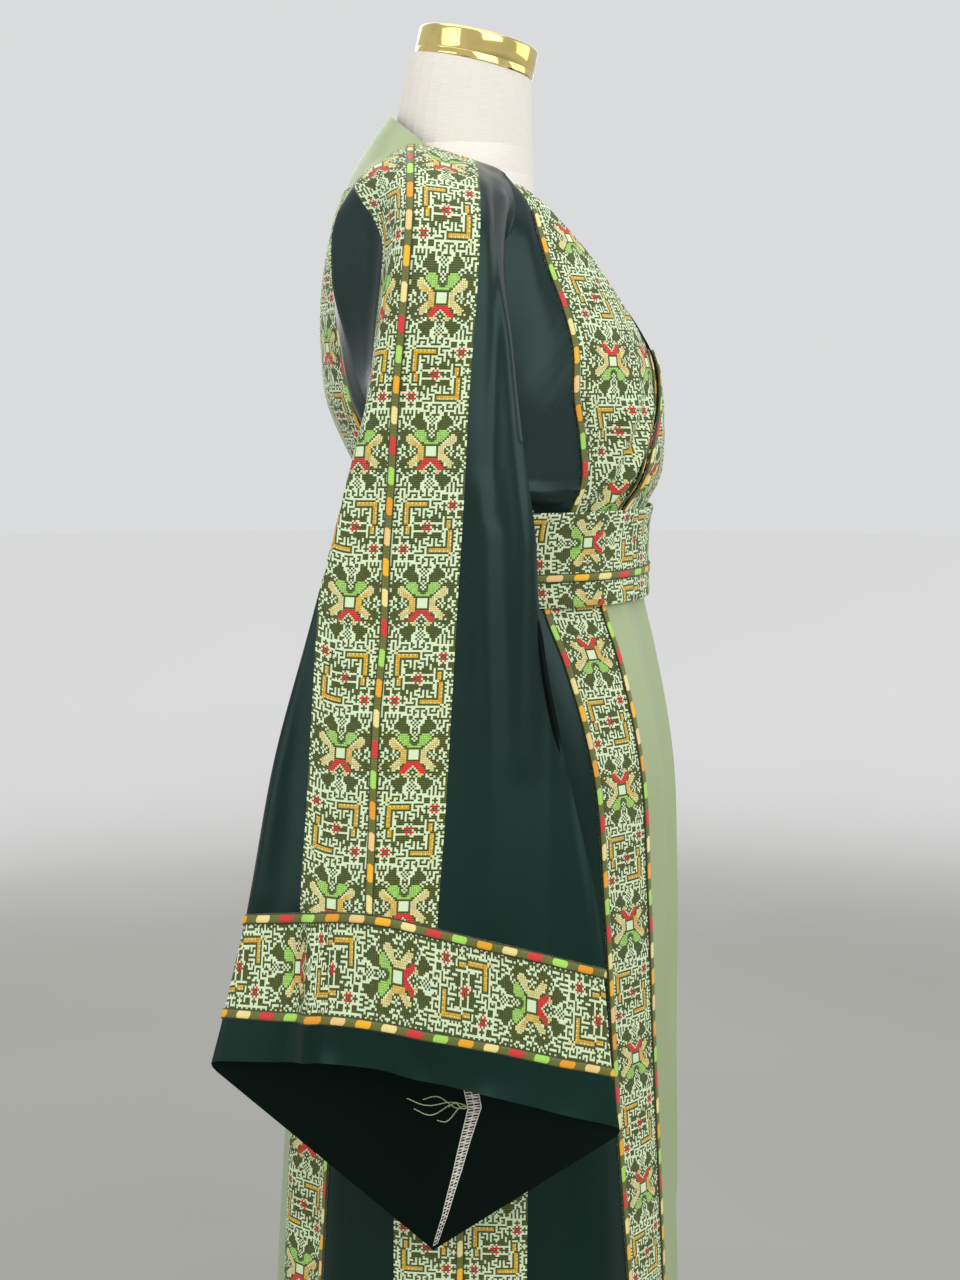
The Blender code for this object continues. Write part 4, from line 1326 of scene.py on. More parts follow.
@dataclass
class Sleeve:
    """One sleeve with the part of the bodice that is cut with it: strip, satin, cuff band and hem."""

    side: Side
    folds: tuple[Crease, ...]
    phase: float = -0.009  # length down to the first flower's middle
    cuff_phase: float = -0.0291
    # Length of embroidery against length round the cuff, which takes up cloth in the pinch at its back
    cuff_run: tuple = ((-0.44, -0.484), (0.030, 0.033), (0.065, 0.103), (0.40, 0.4715))
    cuff_chart: tuple[float, float] = (0.0745, 0.0065)  # length of chart up the band, and where it starts
    cuff_ribbons: tuple[float, float] = (10.0962, 10.1102)
    cuff_ribbon_pull: float = 1.163
    ribbon_phase: float = 0.15
    fold_lead: float = 0.012  # half of the stretch of close columns at a fold
    # How much higher than its first row the neckline runs, by length from the spine
    neck: tuple = ((-0.11, 0.0), (-0.06, 0.006), (-0.03, 0.009), (-0.012, 0.008), (0.0, 0.005), (0.03, 0.001),
                   (0.06, 0.0))
    neck_reach: float = 0.06  # length down which that fades out
    slope_run: float = 0.02  # length over which the neckline's slope is read
    turn_share: float = 0.48  # most of the way to the next line that a corner's turn takes
    lead_share: float = 0.45  # the same for the close columns at a fold
    front_columns: tuple = (22, 7, 21)  # points up to the front fold, over it and on
    back_columns: tuple = (9, 7, 12, 12)  # up to the back fold, over it, to the hollow, on
    strip_cell: float = 0.005
    # Sway of the centre ribbon, by length down
    wander: tuple = ((0.0, 0.0), (0.30, 0.0), (0.45, 0.0012), (0.52, -0.001), (0.58, 0.0016), (0.64, 0.001),
                     (0.70, -0.0015), (0.76, -0.003))

    def __post_init__(self) -> None:
        """Lay out the sleeve's lines by length down its spine."""
        spine = np.array(SPINE)
        self.keys = lengths_along(spine)
        free = len(SPINE) - len(BODICE_HOLLOW)
        back, end = np.array(BACK_FOLD), np.array(BODICE_BULGE + FRONT_END[-free:])
        hollow = np.concatenate([BODICE_HOLLOW, mix(back, end, 0.5)[-free:]])
        self.table = np.concatenate([self.keys[:, None], FRONT_END, FRONT_FOLD, spine, back, hollow, end], axis=1)
        self.rows: dict[float, tuple[Array, Array, list[int]]] = {}

    def row(self, down: float) -> tuple[Array, Array, list[int]]:
        """One row of the sleeve.

        Args:
            down: Length down the spine.

        Returns:
            Its line from the front end round to the back end, lengths from the spine, and the lengths at
            the front end, front fold, spine, back fold, hollow and back end.
        """
        key = round(down, 6)
        if key not in self.rows:
            corners = hermite(self.table, np.array([down]))[0].reshape(6, 3)
            turn = float(np.interp(down, self.keys[[0, -1]], (TURN_TOP, TURN_CUFF)))
            turns = (0.0, turn, SPINE_TURN, turn, HOLLOW_TURN, 0.0)
            line, marks = [corners[0]], [0]
            for k in range(1, 5):
                before, here, after = corners[k - 1:k + 2]
                back, ahead = before - here, after - here
                reach = min(turns[k], *(self.turn_share * norm(arm) for arm in (back, ahead)))
                start = here + back / norm(back) * reach
                end = here + ahead / norm(ahead) * reach
                for t in np.linspace(0.0, 1.0, TURN_POINTS):
                    line.append((1 - t) ** 2 * start + 2 * t * (1 - t) * here + t ** 2 * end)
                marks.append(len(line) - 1 - TURN_POINTS // 2)
            line.append(corners[5])
            marks.append(len(line) - 1)
            points = np.array(line)
            lengths = lengths_along(points)
            lengths = lengths - lengths[marks[2]]
            self.rows[key] = points, lengths, [float(lengths[k]) for k in marks]
        return self.rows[key]

    def at(self, down: float, arcs: Array) -> Array:
        """Points of a row at lengths from the spine; minus goes to the front."""
        points, lengths, _ = self.row(down)
        return np.stack([np.interp(arcs, lengths, points[:, k]) for k in range(3)], axis=1)

    def neck_rise(self, arcs: Array) -> Array:
        """How much higher than its first row the sleeve's neckline runs, at lengths from the spine."""
        return read(self.neck, arcs)

    def uphill(self, arcs: Array) -> Array:
        """Directions up the sleeve at its neckline."""
        way = self.at(0.0, arcs) - self.at(self.slope_run, arcs)
        return way / norm(way, axis=1)[:, None]

    def neckline(self, arcs: Array) -> Array:
        """Points of the neckline at lengths from the spine."""
        return self.at(0.0, arcs) + self.neck_rise(arcs)[:, None] * self.uphill(arcs)

    def stops(self, down: float, part: str) -> Array:
        """Arcs of a row's columns, for the front, the back or the strip.

        Args:
            down: Length down the spine.
            part: Which part.

        Returns:
            The arcs, always as many for one part.
        """
        _, _, (front_end, front_fold, _, back_fold, hollow, back_end) = self.row(down)
        if part == "front":
            fold = min(front_fold, -HALF_STRIP - 0.004)
            fold = max(fold, mix(front_end, -HALF_STRIP, 0.25))
            lead = min(self.fold_lead, (fold - front_end) * self.lead_share, (-HALF_STRIP - fold) * self.lead_share)
            first, over, last = self.front_columns
            return np.concatenate([mix(front_end, fold - lead, np.linspace(0, 1, first)[:-1]),
                                   np.linspace(fold - lead, fold + lead, over)[:-1],
                                   np.linspace(fold + lead, -HALF_STRIP, last)])
        if part == "back":
            fold = max(back_fold, HALF_STRIP + 0.003)
            bend = float(np.clip(hollow, fold + 0.004, mix(fold, back_end, 0.75)))
            lead = min(self.fold_lead, (fold - HALF_STRIP) * self.lead_share, (bend - fold) * self.lead_share)
            first, over, inner, last = self.back_columns
            return np.concatenate([np.linspace(HALF_STRIP, fold - lead, first)[:-1],
                                   np.linspace(fold - lead, fold + lead, over)[:-1],
                                   np.linspace(fold + lead, bend, inner)[:-1], np.linspace(bend, back_end, last)])
        return spaced(-HALF_STRIP, HALF_STRIP, self.strip_cell)

    def downs(self, *stops: int) -> Array:
        """Lengths down the spine for rows between rows of the table, with one at each of these."""
        return spaced_through(*self.keys[list(stops)])

    def grid(self, downs: Array, arcs: Sequence[Array], chart: Lift, woven_true: bool = False) -> Grid:
        """A patch of the sleeve.

        Args:
            downs: Length down of each row.
            arcs: Arcs of each row.
            chart: Turns places into places for the finish.
            woven_true: Whether the finish follows each column's own length of cloth.

        Returns:
            The patch, on its side.
        """
        points = np.array([self.at(down, arc) for down, arc in zip(downs, arcs)])
        places = paired(np.array(arcs), downs[:, None])
        if downs[0] == 0.0:
            rise = self.neck_rise(places[..., 0]) * np.clip(1 - downs[:, None] / self.neck_reach, 0.0, 1.0) ** 2
            points = points + rise[..., None] * self.uphill(places[0, :, 0])[None]
            places[..., 1] -= rise
        woven = places
        if woven_true:
            run = np.cumsum(norm(np.diff(points, axis=0), axis=2), axis=0)
            run = np.concatenate([np.zeros((1, points.shape[1])), run])
            middle = len(downs) // 2
            woven = paired(places[..., 0], run - run[middle] + downs[middle])
        return self.side.place(Grid(points, places, chart(woven)))

    def relief(self) -> Lift:
        """Lift of the sleeve's folds."""
        return relief(self.folds)

    def build(self, maker: Maker) -> None:
        """Make the sleeve's pieces."""
        label = self.side.label
        downs = self.downs(0, UNDERARM_ROW, CUFF_ROW)
        for part in ("front", "back"):
            arcs = [self.stops(down, part) for down in downs]
            grids = [self.grid(downs, arcs, lambda places: places), *self.blouse(part)]
            shell = Shell(f"{part}_satin_{label}", grids, folds=self.relief())
            maker.sew(f"kimono_{part}_{label}", shell, Slot.DARK)
        self.build_strip(maker, downs)
        self.build_cuff(maker)

    @staticmethod
    def eased(down: Array) -> Array:
        """Length of embroidery at a length of strip, which is stretched a little over the shoulder."""
        return np.where(down < SHOULDER_END, SHOULDER_END - (SHOULDER_END - down) / SHOULDER_STRETCH, down)

    def build_strip(self, maker: Maker, downs: Array) -> None:
        """Make the embroidered strip from neck to cuff, and its ribbon."""
        label = self.side.label

        def chart(places: Array) -> Array:
            return chart_places(np.abs(places[..., 0]), self.eased(places[..., 1]), Laying.ALONG, self.phase)

        grid = self.grid(downs, [self.stops(down, "strip") for down in downs], chart, True)
        shell = Shell(f"sleeve_embroidery_{label}", [grid], folds=self.relief(), dark_inside=True)
        maker.sew(f"sleeve_strip_{label}", shell, Slot.EMBROIDERY)
        arcs = RIBBON_OFFS + read(self.wander, downs)[:, None]
        points = np.array([self.at(down, arc) for down, arc in zip(downs, arcs)])
        woven = paired(RIBBON_OFFS, self.eased(downs[:, None]) + self.ribbon_phase)
        grid = self.side.place(Grid(points, paired(arcs, downs[:, None]), woven))
        maker.trim(f"sleeve_ribbon_{label}", f"sleeve_trim_{label}", grid, f"sleeve_strip_{label}", self.relief())

    def round_cuff(self, downs: Array, chart: Lift) -> Grid:
        """A patch all round the cuff."""
        arcs = []
        for down in downs:
            front, strip, back = (self.stops(down, part) for part in ("front", "strip", "back"))
            arcs.append(np.concatenate([front, strip[1:], back[1:]]))
        return self.grid(downs, arcs, chart)

    def build_cuff(self, maker: Maker) -> None:
        """Make the cuff band with its two ribbons, and the hem."""
        label = self.side.label
        band, strip, folds = f"cuff_band_{label}", f"sleeve_strip_{label}", self.relief()
        top, low = self.keys[CUFF_ROW], self.keys[CUFF_ROW + 3]

        def chart(places: Array) -> Array:
            # The band is worked across the sleeve, with its first column at the lower ribbon
            length, start = self.cuff_chart
            share = (low - places[..., 1]) / (low - top)
            return paired(share * length - start, self.cuff_phase - read(self.cuff_run, places[..., 0]))

        grid = self.round_cuff(self.downs(*range(CUFF_ROW, CUFF_ROW + 4)), chart)
        shell = Shell(f"cuff_embroidery_{label}", [grid], folds=folds, dark_inside=True)
        maker.sew(band, shell, Slot.EMBROIDERY)
        for name, first, phase in zip(("top", "lower"), (CUFF_ROW, CUFF_ROW + 2), self.cuff_ribbons):
            near, far = self.keys[first:first + 2]

            def woven(places: Array, near: float = near, far: float = far, phase: float = phase) -> Array:
                part = (places[..., 1] - near) / (far - near) - 0.5
                return paired(part * RIBBON, phase - self.cuff_ribbon_pull * places[..., 0])

            grid = self.round_cuff(np.linspace(near, far, len(RIBBON_OFFS)), woven)
            maker.trim(f"cuff_{name}_ribbon_{label}", f"cuff_trim_{name}_{label}", grid, band, folds)
        grid = self.round_cuff(self.downs(CUFF_ROW + 3, CUFF_ROW + 4), lambda places: places)
        maker.sew(f"cuff_hem_{label}", Shell(f"cuff_hem_satin_{label}", [grid], folds=folds), Slot.DARK)

    def blouse(self, part: str) -> list[Grid]:
        """The satin between the sleeve and the bodice seam, and its stretch that goes under the belt.

        Args:
            part: The front or the back.

        Returns:
            Its patches.
        """
        front = part == "front"
        downs = self.downs(0, UNDERARM_ROW)
        heights = np.interp(downs, self.keys[:UNDERARM_ROW + 1], SEAM_HEIGHTS)
        shares = np.linspace(0.0, 1.0, BLOUSE_COLUMNS)
        bulge = hermite(np.array(BLOUSE_SHARES), shares)[:, 0]
        rows, places = [], []
        for down, height in zip(downs, heights):
            arc = self.row(down)[2][0 if front else -1]
            valley = self.at(down, np.array([arc]))[0]
            row = self.blouse_row(front, height, valley, shares)
            full = BLOUSE * (NECK_SEAM - height) / (NECK_SEAM - UNDERARM)
            way = outward((valley + row[0])[None] / 2, height)[0]
            row = row + way * (full * bulge)[:, None]
            span = norm(valley - row[0]) * (-1 if front else 1)
            rows.append(row)
            places.append(paired(arc + span * (1 - shares), down))
        upper = (np.array(rows), np.array(places))
        lower = self.tuck(front, shares, upper[0][-1], bulge)
        return [self.side.place(Grid(points, place, place, not front)) for points, place in (upper, lower)]

    @staticmethod
    def blouse_row(front: bool, height: float, end: Array, shares: Array) -> Array:
        """A straight row from the bodice seam to an end point."""
        arc = seam_value(BODICE_SEAMS, 1, height) if front else back_seam(height)
        edge = on_body(height, np.array([arc]))[0]
        return edge + (end - edge) * shares[:, None]

    def tuck(self, front: bool, shares: Array, top: Array, bulge: Array) -> Patch:
        """The satin from the underarm down to its edge under the belt, with a soft roll over the belt.

        Args:
            front: Whether it is the front.
            shares: Shares of the way from the seam to the side strip.
            top: The row it hangs from.
            bulge: Fullness of each share.

        Returns:
            Points and places.
        """
        heights = np.concatenate([spaced(UNDERARM, STRIP_CORNER, TUCK_ROW), spaced(STRIP_CORNER, BODICE_EDGE)[1:]])
        rows, places = [], []
        for n, height in enumerate(heights):
            side = side_arc(max(height, BODICE_EDGE))
            arc = side - HALF_STRIP if front else side + HALF_STRIP
            corner = on_body(height, np.array([arc]))[0]
            fall = float(np.clip((UNDERARM - height) / (UNDERARM - STRIP_CORNER), 0.0, 1.0))
            end = mix(top[-1], corner, fall)
            end[2] = height
            row = self.blouse_row(front, height, end, shares)
            full = BLOUSE * float(read(BLOUSE_ROLL, height))
            row = row + outward(row, height) * (full * bulge)[:, None] if n else top
            rows.append(row)
            place = norm(row - row[-1], axis=1) * (-1 if front else 1)
            places.append(paired(place, self.keys[UNDERARM_ROW] + (UNDERARM - height)))
        return np.array(rows), np.array(places)


@dataclass
class Bodice:
    """Embroidered fronts that cross over, the mint back with its collar, and the strips beside it."""

    sleeve: Sleeve
    folds: tuple[Crease, ...] = ()
    front_phase: float = 0.063
    back_phase: float = 0.02
    side_phase: float = 0.05
    chart_shift: float = 0.011  # how far the fronts' embroidery starts inside the outer ribbon
    outer_top: float = 1.370  # height where the outer ribbon begins
    side_top: float = 1.127  # height where the side strip begins
    side_tuck: float = 0.005  # how far its upper edge goes in under the satin
    side_row: float = 0.004  # height of its rows above the belt
    front_columns: int = 25
    strip_columns: int = 11
    side_columns: int = 21
    back_columns: int = 9
    collar_start: float = -0.014  # where the collar begins, from the spine of the sleeve
    collar_rows: int = 17
    collar_seam: tuple[int, int] = (4, 8)  # points of its lower edge beside the back strip and along its end
    collar_places: tuple[float, float, float] = (0.30, 0.16, 0.06)  # its place for creases, width and length

    def heights(self) -> Array:
        """Heights of the rows, top to bottom."""
        return spaced_through(NECK_SEAM, UNDERARM, BODICE_EDGE)

    def stand(self, side: Side) -> Stand | None:
        """How far a front stands off the form: the left one rises over the right one."""
        if side is Side.RIGHT:
            return None

        def rise(height: float, arcs: Array) -> Array:
            edge = seam_value(BODICE_SEAMS, 3, height)
            near = ease(1 - (np.abs(edge - arcs) - OVERLAP_FLAT) / OVERLAP_RAMP)
            return OVERLAP_RISE * near * float(ease((FRONTS_MEET - height) / OVERLAP_START + 0.5))
        return rise

    def build(self, maker: Maker) -> None:
        """Make the bodice's pieces."""
        for side in Side:
            self.build_front(maker, side)
            self.build_back_strip(maker, side)
            self.build_side_strip(maker, side)
        self.build_back(maker)

    def seam(self, side: Side, height: float) -> float:
        """Arc of a front's outer seam."""
        return side.sign * seam_value(BODICE_SEAMS, 1, height)

    def edge(self, side: Side, height: float) -> float:
        """Arc of a front's free edge."""
        return seam_value(BODICE_SEAMS, 2 if side is Side.RIGHT else 3, height)

    def build_front(self, maker: Maker, side: Side) -> None:
        """Make one front with its two ribbons."""
        heights = self.heights()
        columns = np.linspace(0.0, 1.0, self.front_columns)
        ends = (lambda h: self.edge(side, h), lambda h: self.seam(side, h))
        low, high = ends if side is Side.RIGHT else ends[::-1]
        points, places = body_grid(heights, low, high, columns, self.stand(side))
        off = np.abs(arcs_of(ends[1], heights) - places[..., 0]) - RIBBON / 2
        chart = chart_places(off - self.chart_shift, places[..., 1], Laying.TURNED, self.front_phase)
        # Its dark inner face and rim also paint the shade line where the two fronts overlap
        shell = Shell(f"front_embroidery_{side.label}", [Grid(points, places, chart)], folds=relief(self.folds),
                      dark_inside=True)
        maker.sew(f"bodice_front_{side.label}", shell, Slot.EMBROIDERY)
        inward = -side.sign if side is Side.RIGHT else 1.0
        self.trim(maker, side, "outer", self.outer_top, lambda h: ends[1](h) + inward * RIBBON / 2)
        self.trim(maker, side, "inner", FRONTS_MEET, lambda h: ends[0](h) - inward * RIBBON / 2)

    def trim(self, maker: Maker, side: Side, name: str, top: float, middle: Line) -> None:
        """Make a ribbon of a front.

        Args:
            maker: Makes the piece.
            side: Which front.
            name: Outer or inner.
            top: Height where it begins.
            middle: Arc of its middle at a height.
        """
        points, places = ribbon_patch(spaced(top, BODICE_EDGE), middle, self.stand(side))
        grid = Grid(points, places, paired(RIBBON_OFFS, WHOLE_BLOCKS - places[..., 1]))
        maker.trim(f"bodice_{name}_ribbon_{side.label}", f"front_trim_{name}_{side.label}", grid,
                   f"bodice_front_{side.label}", relief(self.folds))

    def build_back_strip(self, maker: Maker, side: Side) -> None:
        """Make the embroidered strip beside the back, and its ribbon."""
        heights, strip = self.heights(), f"back_strip_{side.label}"
        points, places = body_grid(heights, back_seam, lambda h: back_seam(h) + HALF_STRIP,
                                   np.linspace(0, 1, self.strip_columns))
        off = places[..., 0] - arcs_of(back_seam, heights) - RIBBON / 2
        chart = chart_places(off, places[..., 1], Laying.ALONG, self.back_phase)
        shell = Shell(f"back_embroidery_{side.label}", [side.place(Grid(points, places, chart))])
        maker.sew(strip, shell, Slot.EMBROIDERY)
        points, places = body_grid(heights, back_seam, lambda h: back_seam(h) + RIBBON,
                                   np.linspace(0, 1, len(RIBBON_OFFS)))
        grid = side.place(Grid(points, places, paired(RIBBON_OFFS, places[..., 1])))
        maker.trim(f"back_ribbon_{side.label}", f"back_trim_{side.label}", grid, strip)

    def build_side_strip(self, maker: Maker, side: Side) -> None:
        """Make the strip that shows between the blousing satin and the belt."""
        heights = np.concatenate([spaced(self.side_top, STRIP_CORNER, self.side_row),
                                  spaced(STRIP_CORNER, BODICE_EDGE)[1:]])

        def tuck(height: float, arcs: Array) -> Array:
            return np.full(len(arcs), -self.side_tuck * float(ease((height - BELT_TOP) / 0.02)))

        points, places = body_grid(heights, *side_edges(), np.linspace(0.0, 1.0, self.side_columns), tuck)
        off = np.abs(places[..., 0] - arcs_of(side_arc, heights))
        chart = chart_places(off, places[..., 1], Laying.ALONG, self.side_phase)
        shell = Shell(f"side_embroidery_{side.label}", [side.place(Grid(points, places, chart))])
        maker.sew(f"bodice_side_strip_{side.label}", shell, Slot.EMBROIDERY)

    def build_back(self, maker: Maker) -> None:
        """Make the mint back with the raised collar."""
        points, places = body_grid(self.heights(), lambda h: back_seam(h) + HALF_STRIP, girth,
                                   np.linspace(0.0, 1.0, self.back_columns))
        right, collar = Grid(points, places, places), self.collar(points[0])
        shell = Shell("back_mint", [right, right.mirrored(), collar, collar.mirrored()],
                      folds=relief(self.folds), halves=True)
        maker.sew("bodice_back", shell, Slot.MINT)

    def collar(self, back_row: Array) -> Grid:
        """The raised part of the back, from the strip's end on the right shoulder to the centre back.

        Args:
            back_row: The back's top row, from the back strip to the centre back.

        Returns:
            The patch.
        """
        _, _, marks = self.sleeve.row(0.0)
        side = self.sleeve.neckline(np.linspace(self.collar_start, marks[-1], self.collar_rows))
        valley = side[-1]
        outer = back_seam(NECK_SEAM)
        edge = on_body(NECK_SEAM, np.array([outer]))[0]
        beside, end = self.collar_seam
        under = on_body(NECK_SEAM, np.linspace(outer, outer + HALF_STRIP, end))
        low = np.concatenate([mix(valley, edge, np.linspace(0, 1, beside)[:-1, None]), under, back_row[1:]])
        across, down = (lengths_along(line) / lengths_along(line)[-1] for line in (low, side))
        peak = np.array(COLLAR_PEAK)
        top = mix(side[0], peak, np.sin(across * pi / 2)[:, None])
        top[:, 0] = side[0][0] * np.cos(across * pi / 2)
        u, v = across[None, :, None], down[:, None, None]
        centre = mix(peak, low[-1], down[:, None])
        corners = mix(mix(side[0], peak, u), mix(side[-1], low[-1], u), v)
        points = mix(side[:, None], centre[:, None], u) + mix(top[None], low[None], v) - corners
        start, width, length = self.collar_places
        places = paired(start - across[None] * width, (down[:, None] - 1) * length)
        return Grid(points, places, places)


@dataclass
class Skirt:
    """Gores and embroidered strips from the waist seam to the hem."""

    folds: tuple[Crease, ...]
    front_phase: float = 0.0846
    side_phase: float = 0.05
    row: float = 0.0075  # height of one row of cells

    @staticmethod
    def front(height: float) -> float:
        """Arc of the front strip's inner edge."""
        return seam_value(SKIRT_SEAMS, 1, height)

    @staticmethod
    def front_outer(height: float) -> float:
        """Arc of the front strip's outer edge."""
        return Skirt.front(height) + HALF_STRIP + RIBBON

    @staticmethod
    def back(height: float) -> float:
        """Arc of the back strip's edge at the mint back."""
        return girth(height) - seam_value(SKIRT_SEAMS, 2, height)

    @staticmethod
    def back_outer(height: float) -> float:
        """Arc of the back strip's outer edge."""
        return Skirt.back(height) - HALF_STRIP

    def piece(self, maker: Maker, node: str, name: str, side: Side | None, seams: tuple[Line, Line], slot: Slot,
              cells: int, chart: Charting) -> None:
        """Make one piece of the skirt.

        Args:
            maker: Makes the piece.
            node: The solid it stands for.
            name: Its own name.
            side: The side it is on, or none where it crosses the centre.
            seams: Arcs of its two seams, the one nearer to the centre front first.
            slot: Its material slot.
            cells: Cells across.
            chart: Places for the finish, from the right side's places and the heights.
        """
        heights = spaced(WAIST_SEAM, HEM, self.row)
        points, places = body_grid(heights, *seams, np.linspace(0.0, 1.0, cells + 1))
        grids = [self.on_side(here, points, places, chart(places, heights)) for here in ([side] if side else Side)]
        shell = Shell(name, grids, folds=relief(self.folds), halves=side is None)
        maker.sew(node, shell, slot)

    @staticmethod
    def on_side(side: Side, points: Array, places: Array, chart: Array) -> Grid:
        """A patch of the right side on a side, whose left places are minus, so that its creases differ."""
        left = side is Side.LEFT
        return Grid(points * (TO_LEFT if left else 1.0), places * np.array([side.sign, 1.0]), chart, left)

    def ribbon(self, maker: Maker, name: str, side: Side, middle: Line, strip: str) -> None:
        """Make a ribbon from the waist to the hem, about a line of arcs."""
        points, places = ribbon_patch(spaced(WAIST_SEAM, HEM, self.row), middle)
        grid = self.on_side(side, points, places, paired(RIBBON_OFFS, WHOLE_BLOCKS - places[..., 1]))
        maker.trim(f"skirt_{name}_ribbon_{side.label}", f"skirt_trim_{name}_{side.label}", grid,
                   f"skirt_{strip}_strip_{side.label}", relief(self.folds))

    def build(self, maker: Maker) -> None:
        """Make the skirt's pieces."""
        def plain(places: Array, heights: Array) -> Array:
            return places

        def front_chart(places: Array, heights: Array) -> Array:
            off = arcs_of(self.front_outer, heights) - RIBBON / 2 - places[..., 0]
            return chart_places(off, places[..., 1], Laying.TURNED, self.front_phase)

        def side_chart(places: Array, heights: Array) -> Array:
            off = np.abs(places[..., 0] - arcs_of(side_arc, heights))
            return chart_places(off, places[..., 1], Laying.ALONG, self.side_phase)

        def back_chart(places: Array, heights: Array) -> Array:
            off = places[..., 0] - arcs_of(self.back_outer, heights) - RIBBON / 2
            return chart_places(off, places[..., 1], Laying.ALONG, self.side_phase)

        self.piece(maker, "skirt_centre_front", "skirt_mint_front", None, (lambda h: 0.0, self.front), Slot.MINT, 17,
                   plain)
        self.piece(maker, "skirt_centre_back", "skirt_mint_back", None, (self.back, girth), Slot.MINT, 18, plain)
        side_low, side_high = side_edges()
        strip, satin = ("strip", "embroidery", Slot.EMBROIDERY), ("", "satin", Slot.DARK)
        for side in Side:
            for part, (tail, cloth, slot), seams, cells, chart in (
                    ("front", strip, (self.front, self.front_outer), 10, front_chart),
                    ("front", satin, (self.front_outer, side_low), 14, plain),
                    ("side", strip, (side_low, side_high), 20, side_chart),
                    ("back", satin, (side_high, self.back_outer), 14, plain),
                    ("back", strip, (self.back_outer, self.back), 10, back_chart)):
                node = f"skirt_{part}_strip_{side.label}" if tail else f"skirt_side_{part}_{side.label}"
                self.piece(maker, node, f"skirt_{part}_{cloth}_{side.label}", side, seams, slot, cells, chart)
            self.ribbon(maker, "inner", side, lambda h: self.front(h) + RIBBON / 2, "front")
            self.ribbon(maker, "outer", side, lambda h: self.front_outer(h) - RIBBON / 2, "front")
            self.ribbon(maker, "side", side, side_arc, "side")
            self.ribbon(maker, "back", side, lambda h: self.back_outer(h) + RIBBON / 2, "back")


@dataclass
class Belt:
    """The embroidered belt with its ribbon."""

    phase: float = 0.006
    roll: float = 0.0012  # how far its folded edges roll in
    roll_reach: float = 0.0022
    cell: float = 0.005

    def stand(self, height: float, arcs: Array) -> Array:
        """How far the belt stands off the waist; its folded edges roll in a little."""
        edge = min(BELT_TOP - height, height - BELT_BOTTOM)
        return np.full(len(arcs), BELT_STAND_OFF - self.roll * float(np.exp(-(edge / self.roll_reach) ** 2)))

    def ring(self, heights: Array) -> Patch:
        """Points and places all round, from the centre back over the left to the right."""
        count = 2 * int(round(girth(WAIST_SEAM) / self.cell))
        return body_grid(heights, lambda h: 0.0, girth, np.linspace(-1.0, 1.0, count + 1), self.stand)

    def build(self, maker: Maker) -> None:
        """Make the belt and its ribbon."""
        low, high = (BELT_BOTTOM + edge for edge in BELT_RIBBON)
        rows = np.concatenate([[BELT_TOP, BELT_TOP - self.roll],
                               spaced(BELT_TOP - 0.003, BELT_BOTTOM + 0.003, self.cell),
                               [BELT_BOTTOM + self.roll, BELT_BOTTOM]])
        points, places = self.ring(rows)
        chart = paired((rows - (BELT_BOTTOM + sum(BELT_RIBBON) / 2))[:, None], self.phase - places[..., 0])
        shell = Shell("belt_embroidery", [Grid(points, places, chart)])
        maker.sew("belt", shell, Slot.EMBROIDERY)
        points, places = self.ring(np.linspace(high, low, len(RIBBON_OFFS)))
        woven = paired(RIBBON_OFFS[:, None], WHOLE_BLOCKS - places[..., 0])
        maker.trim("belt_ribbon", "belt_trim", Grid(points, places, woven), "belt")


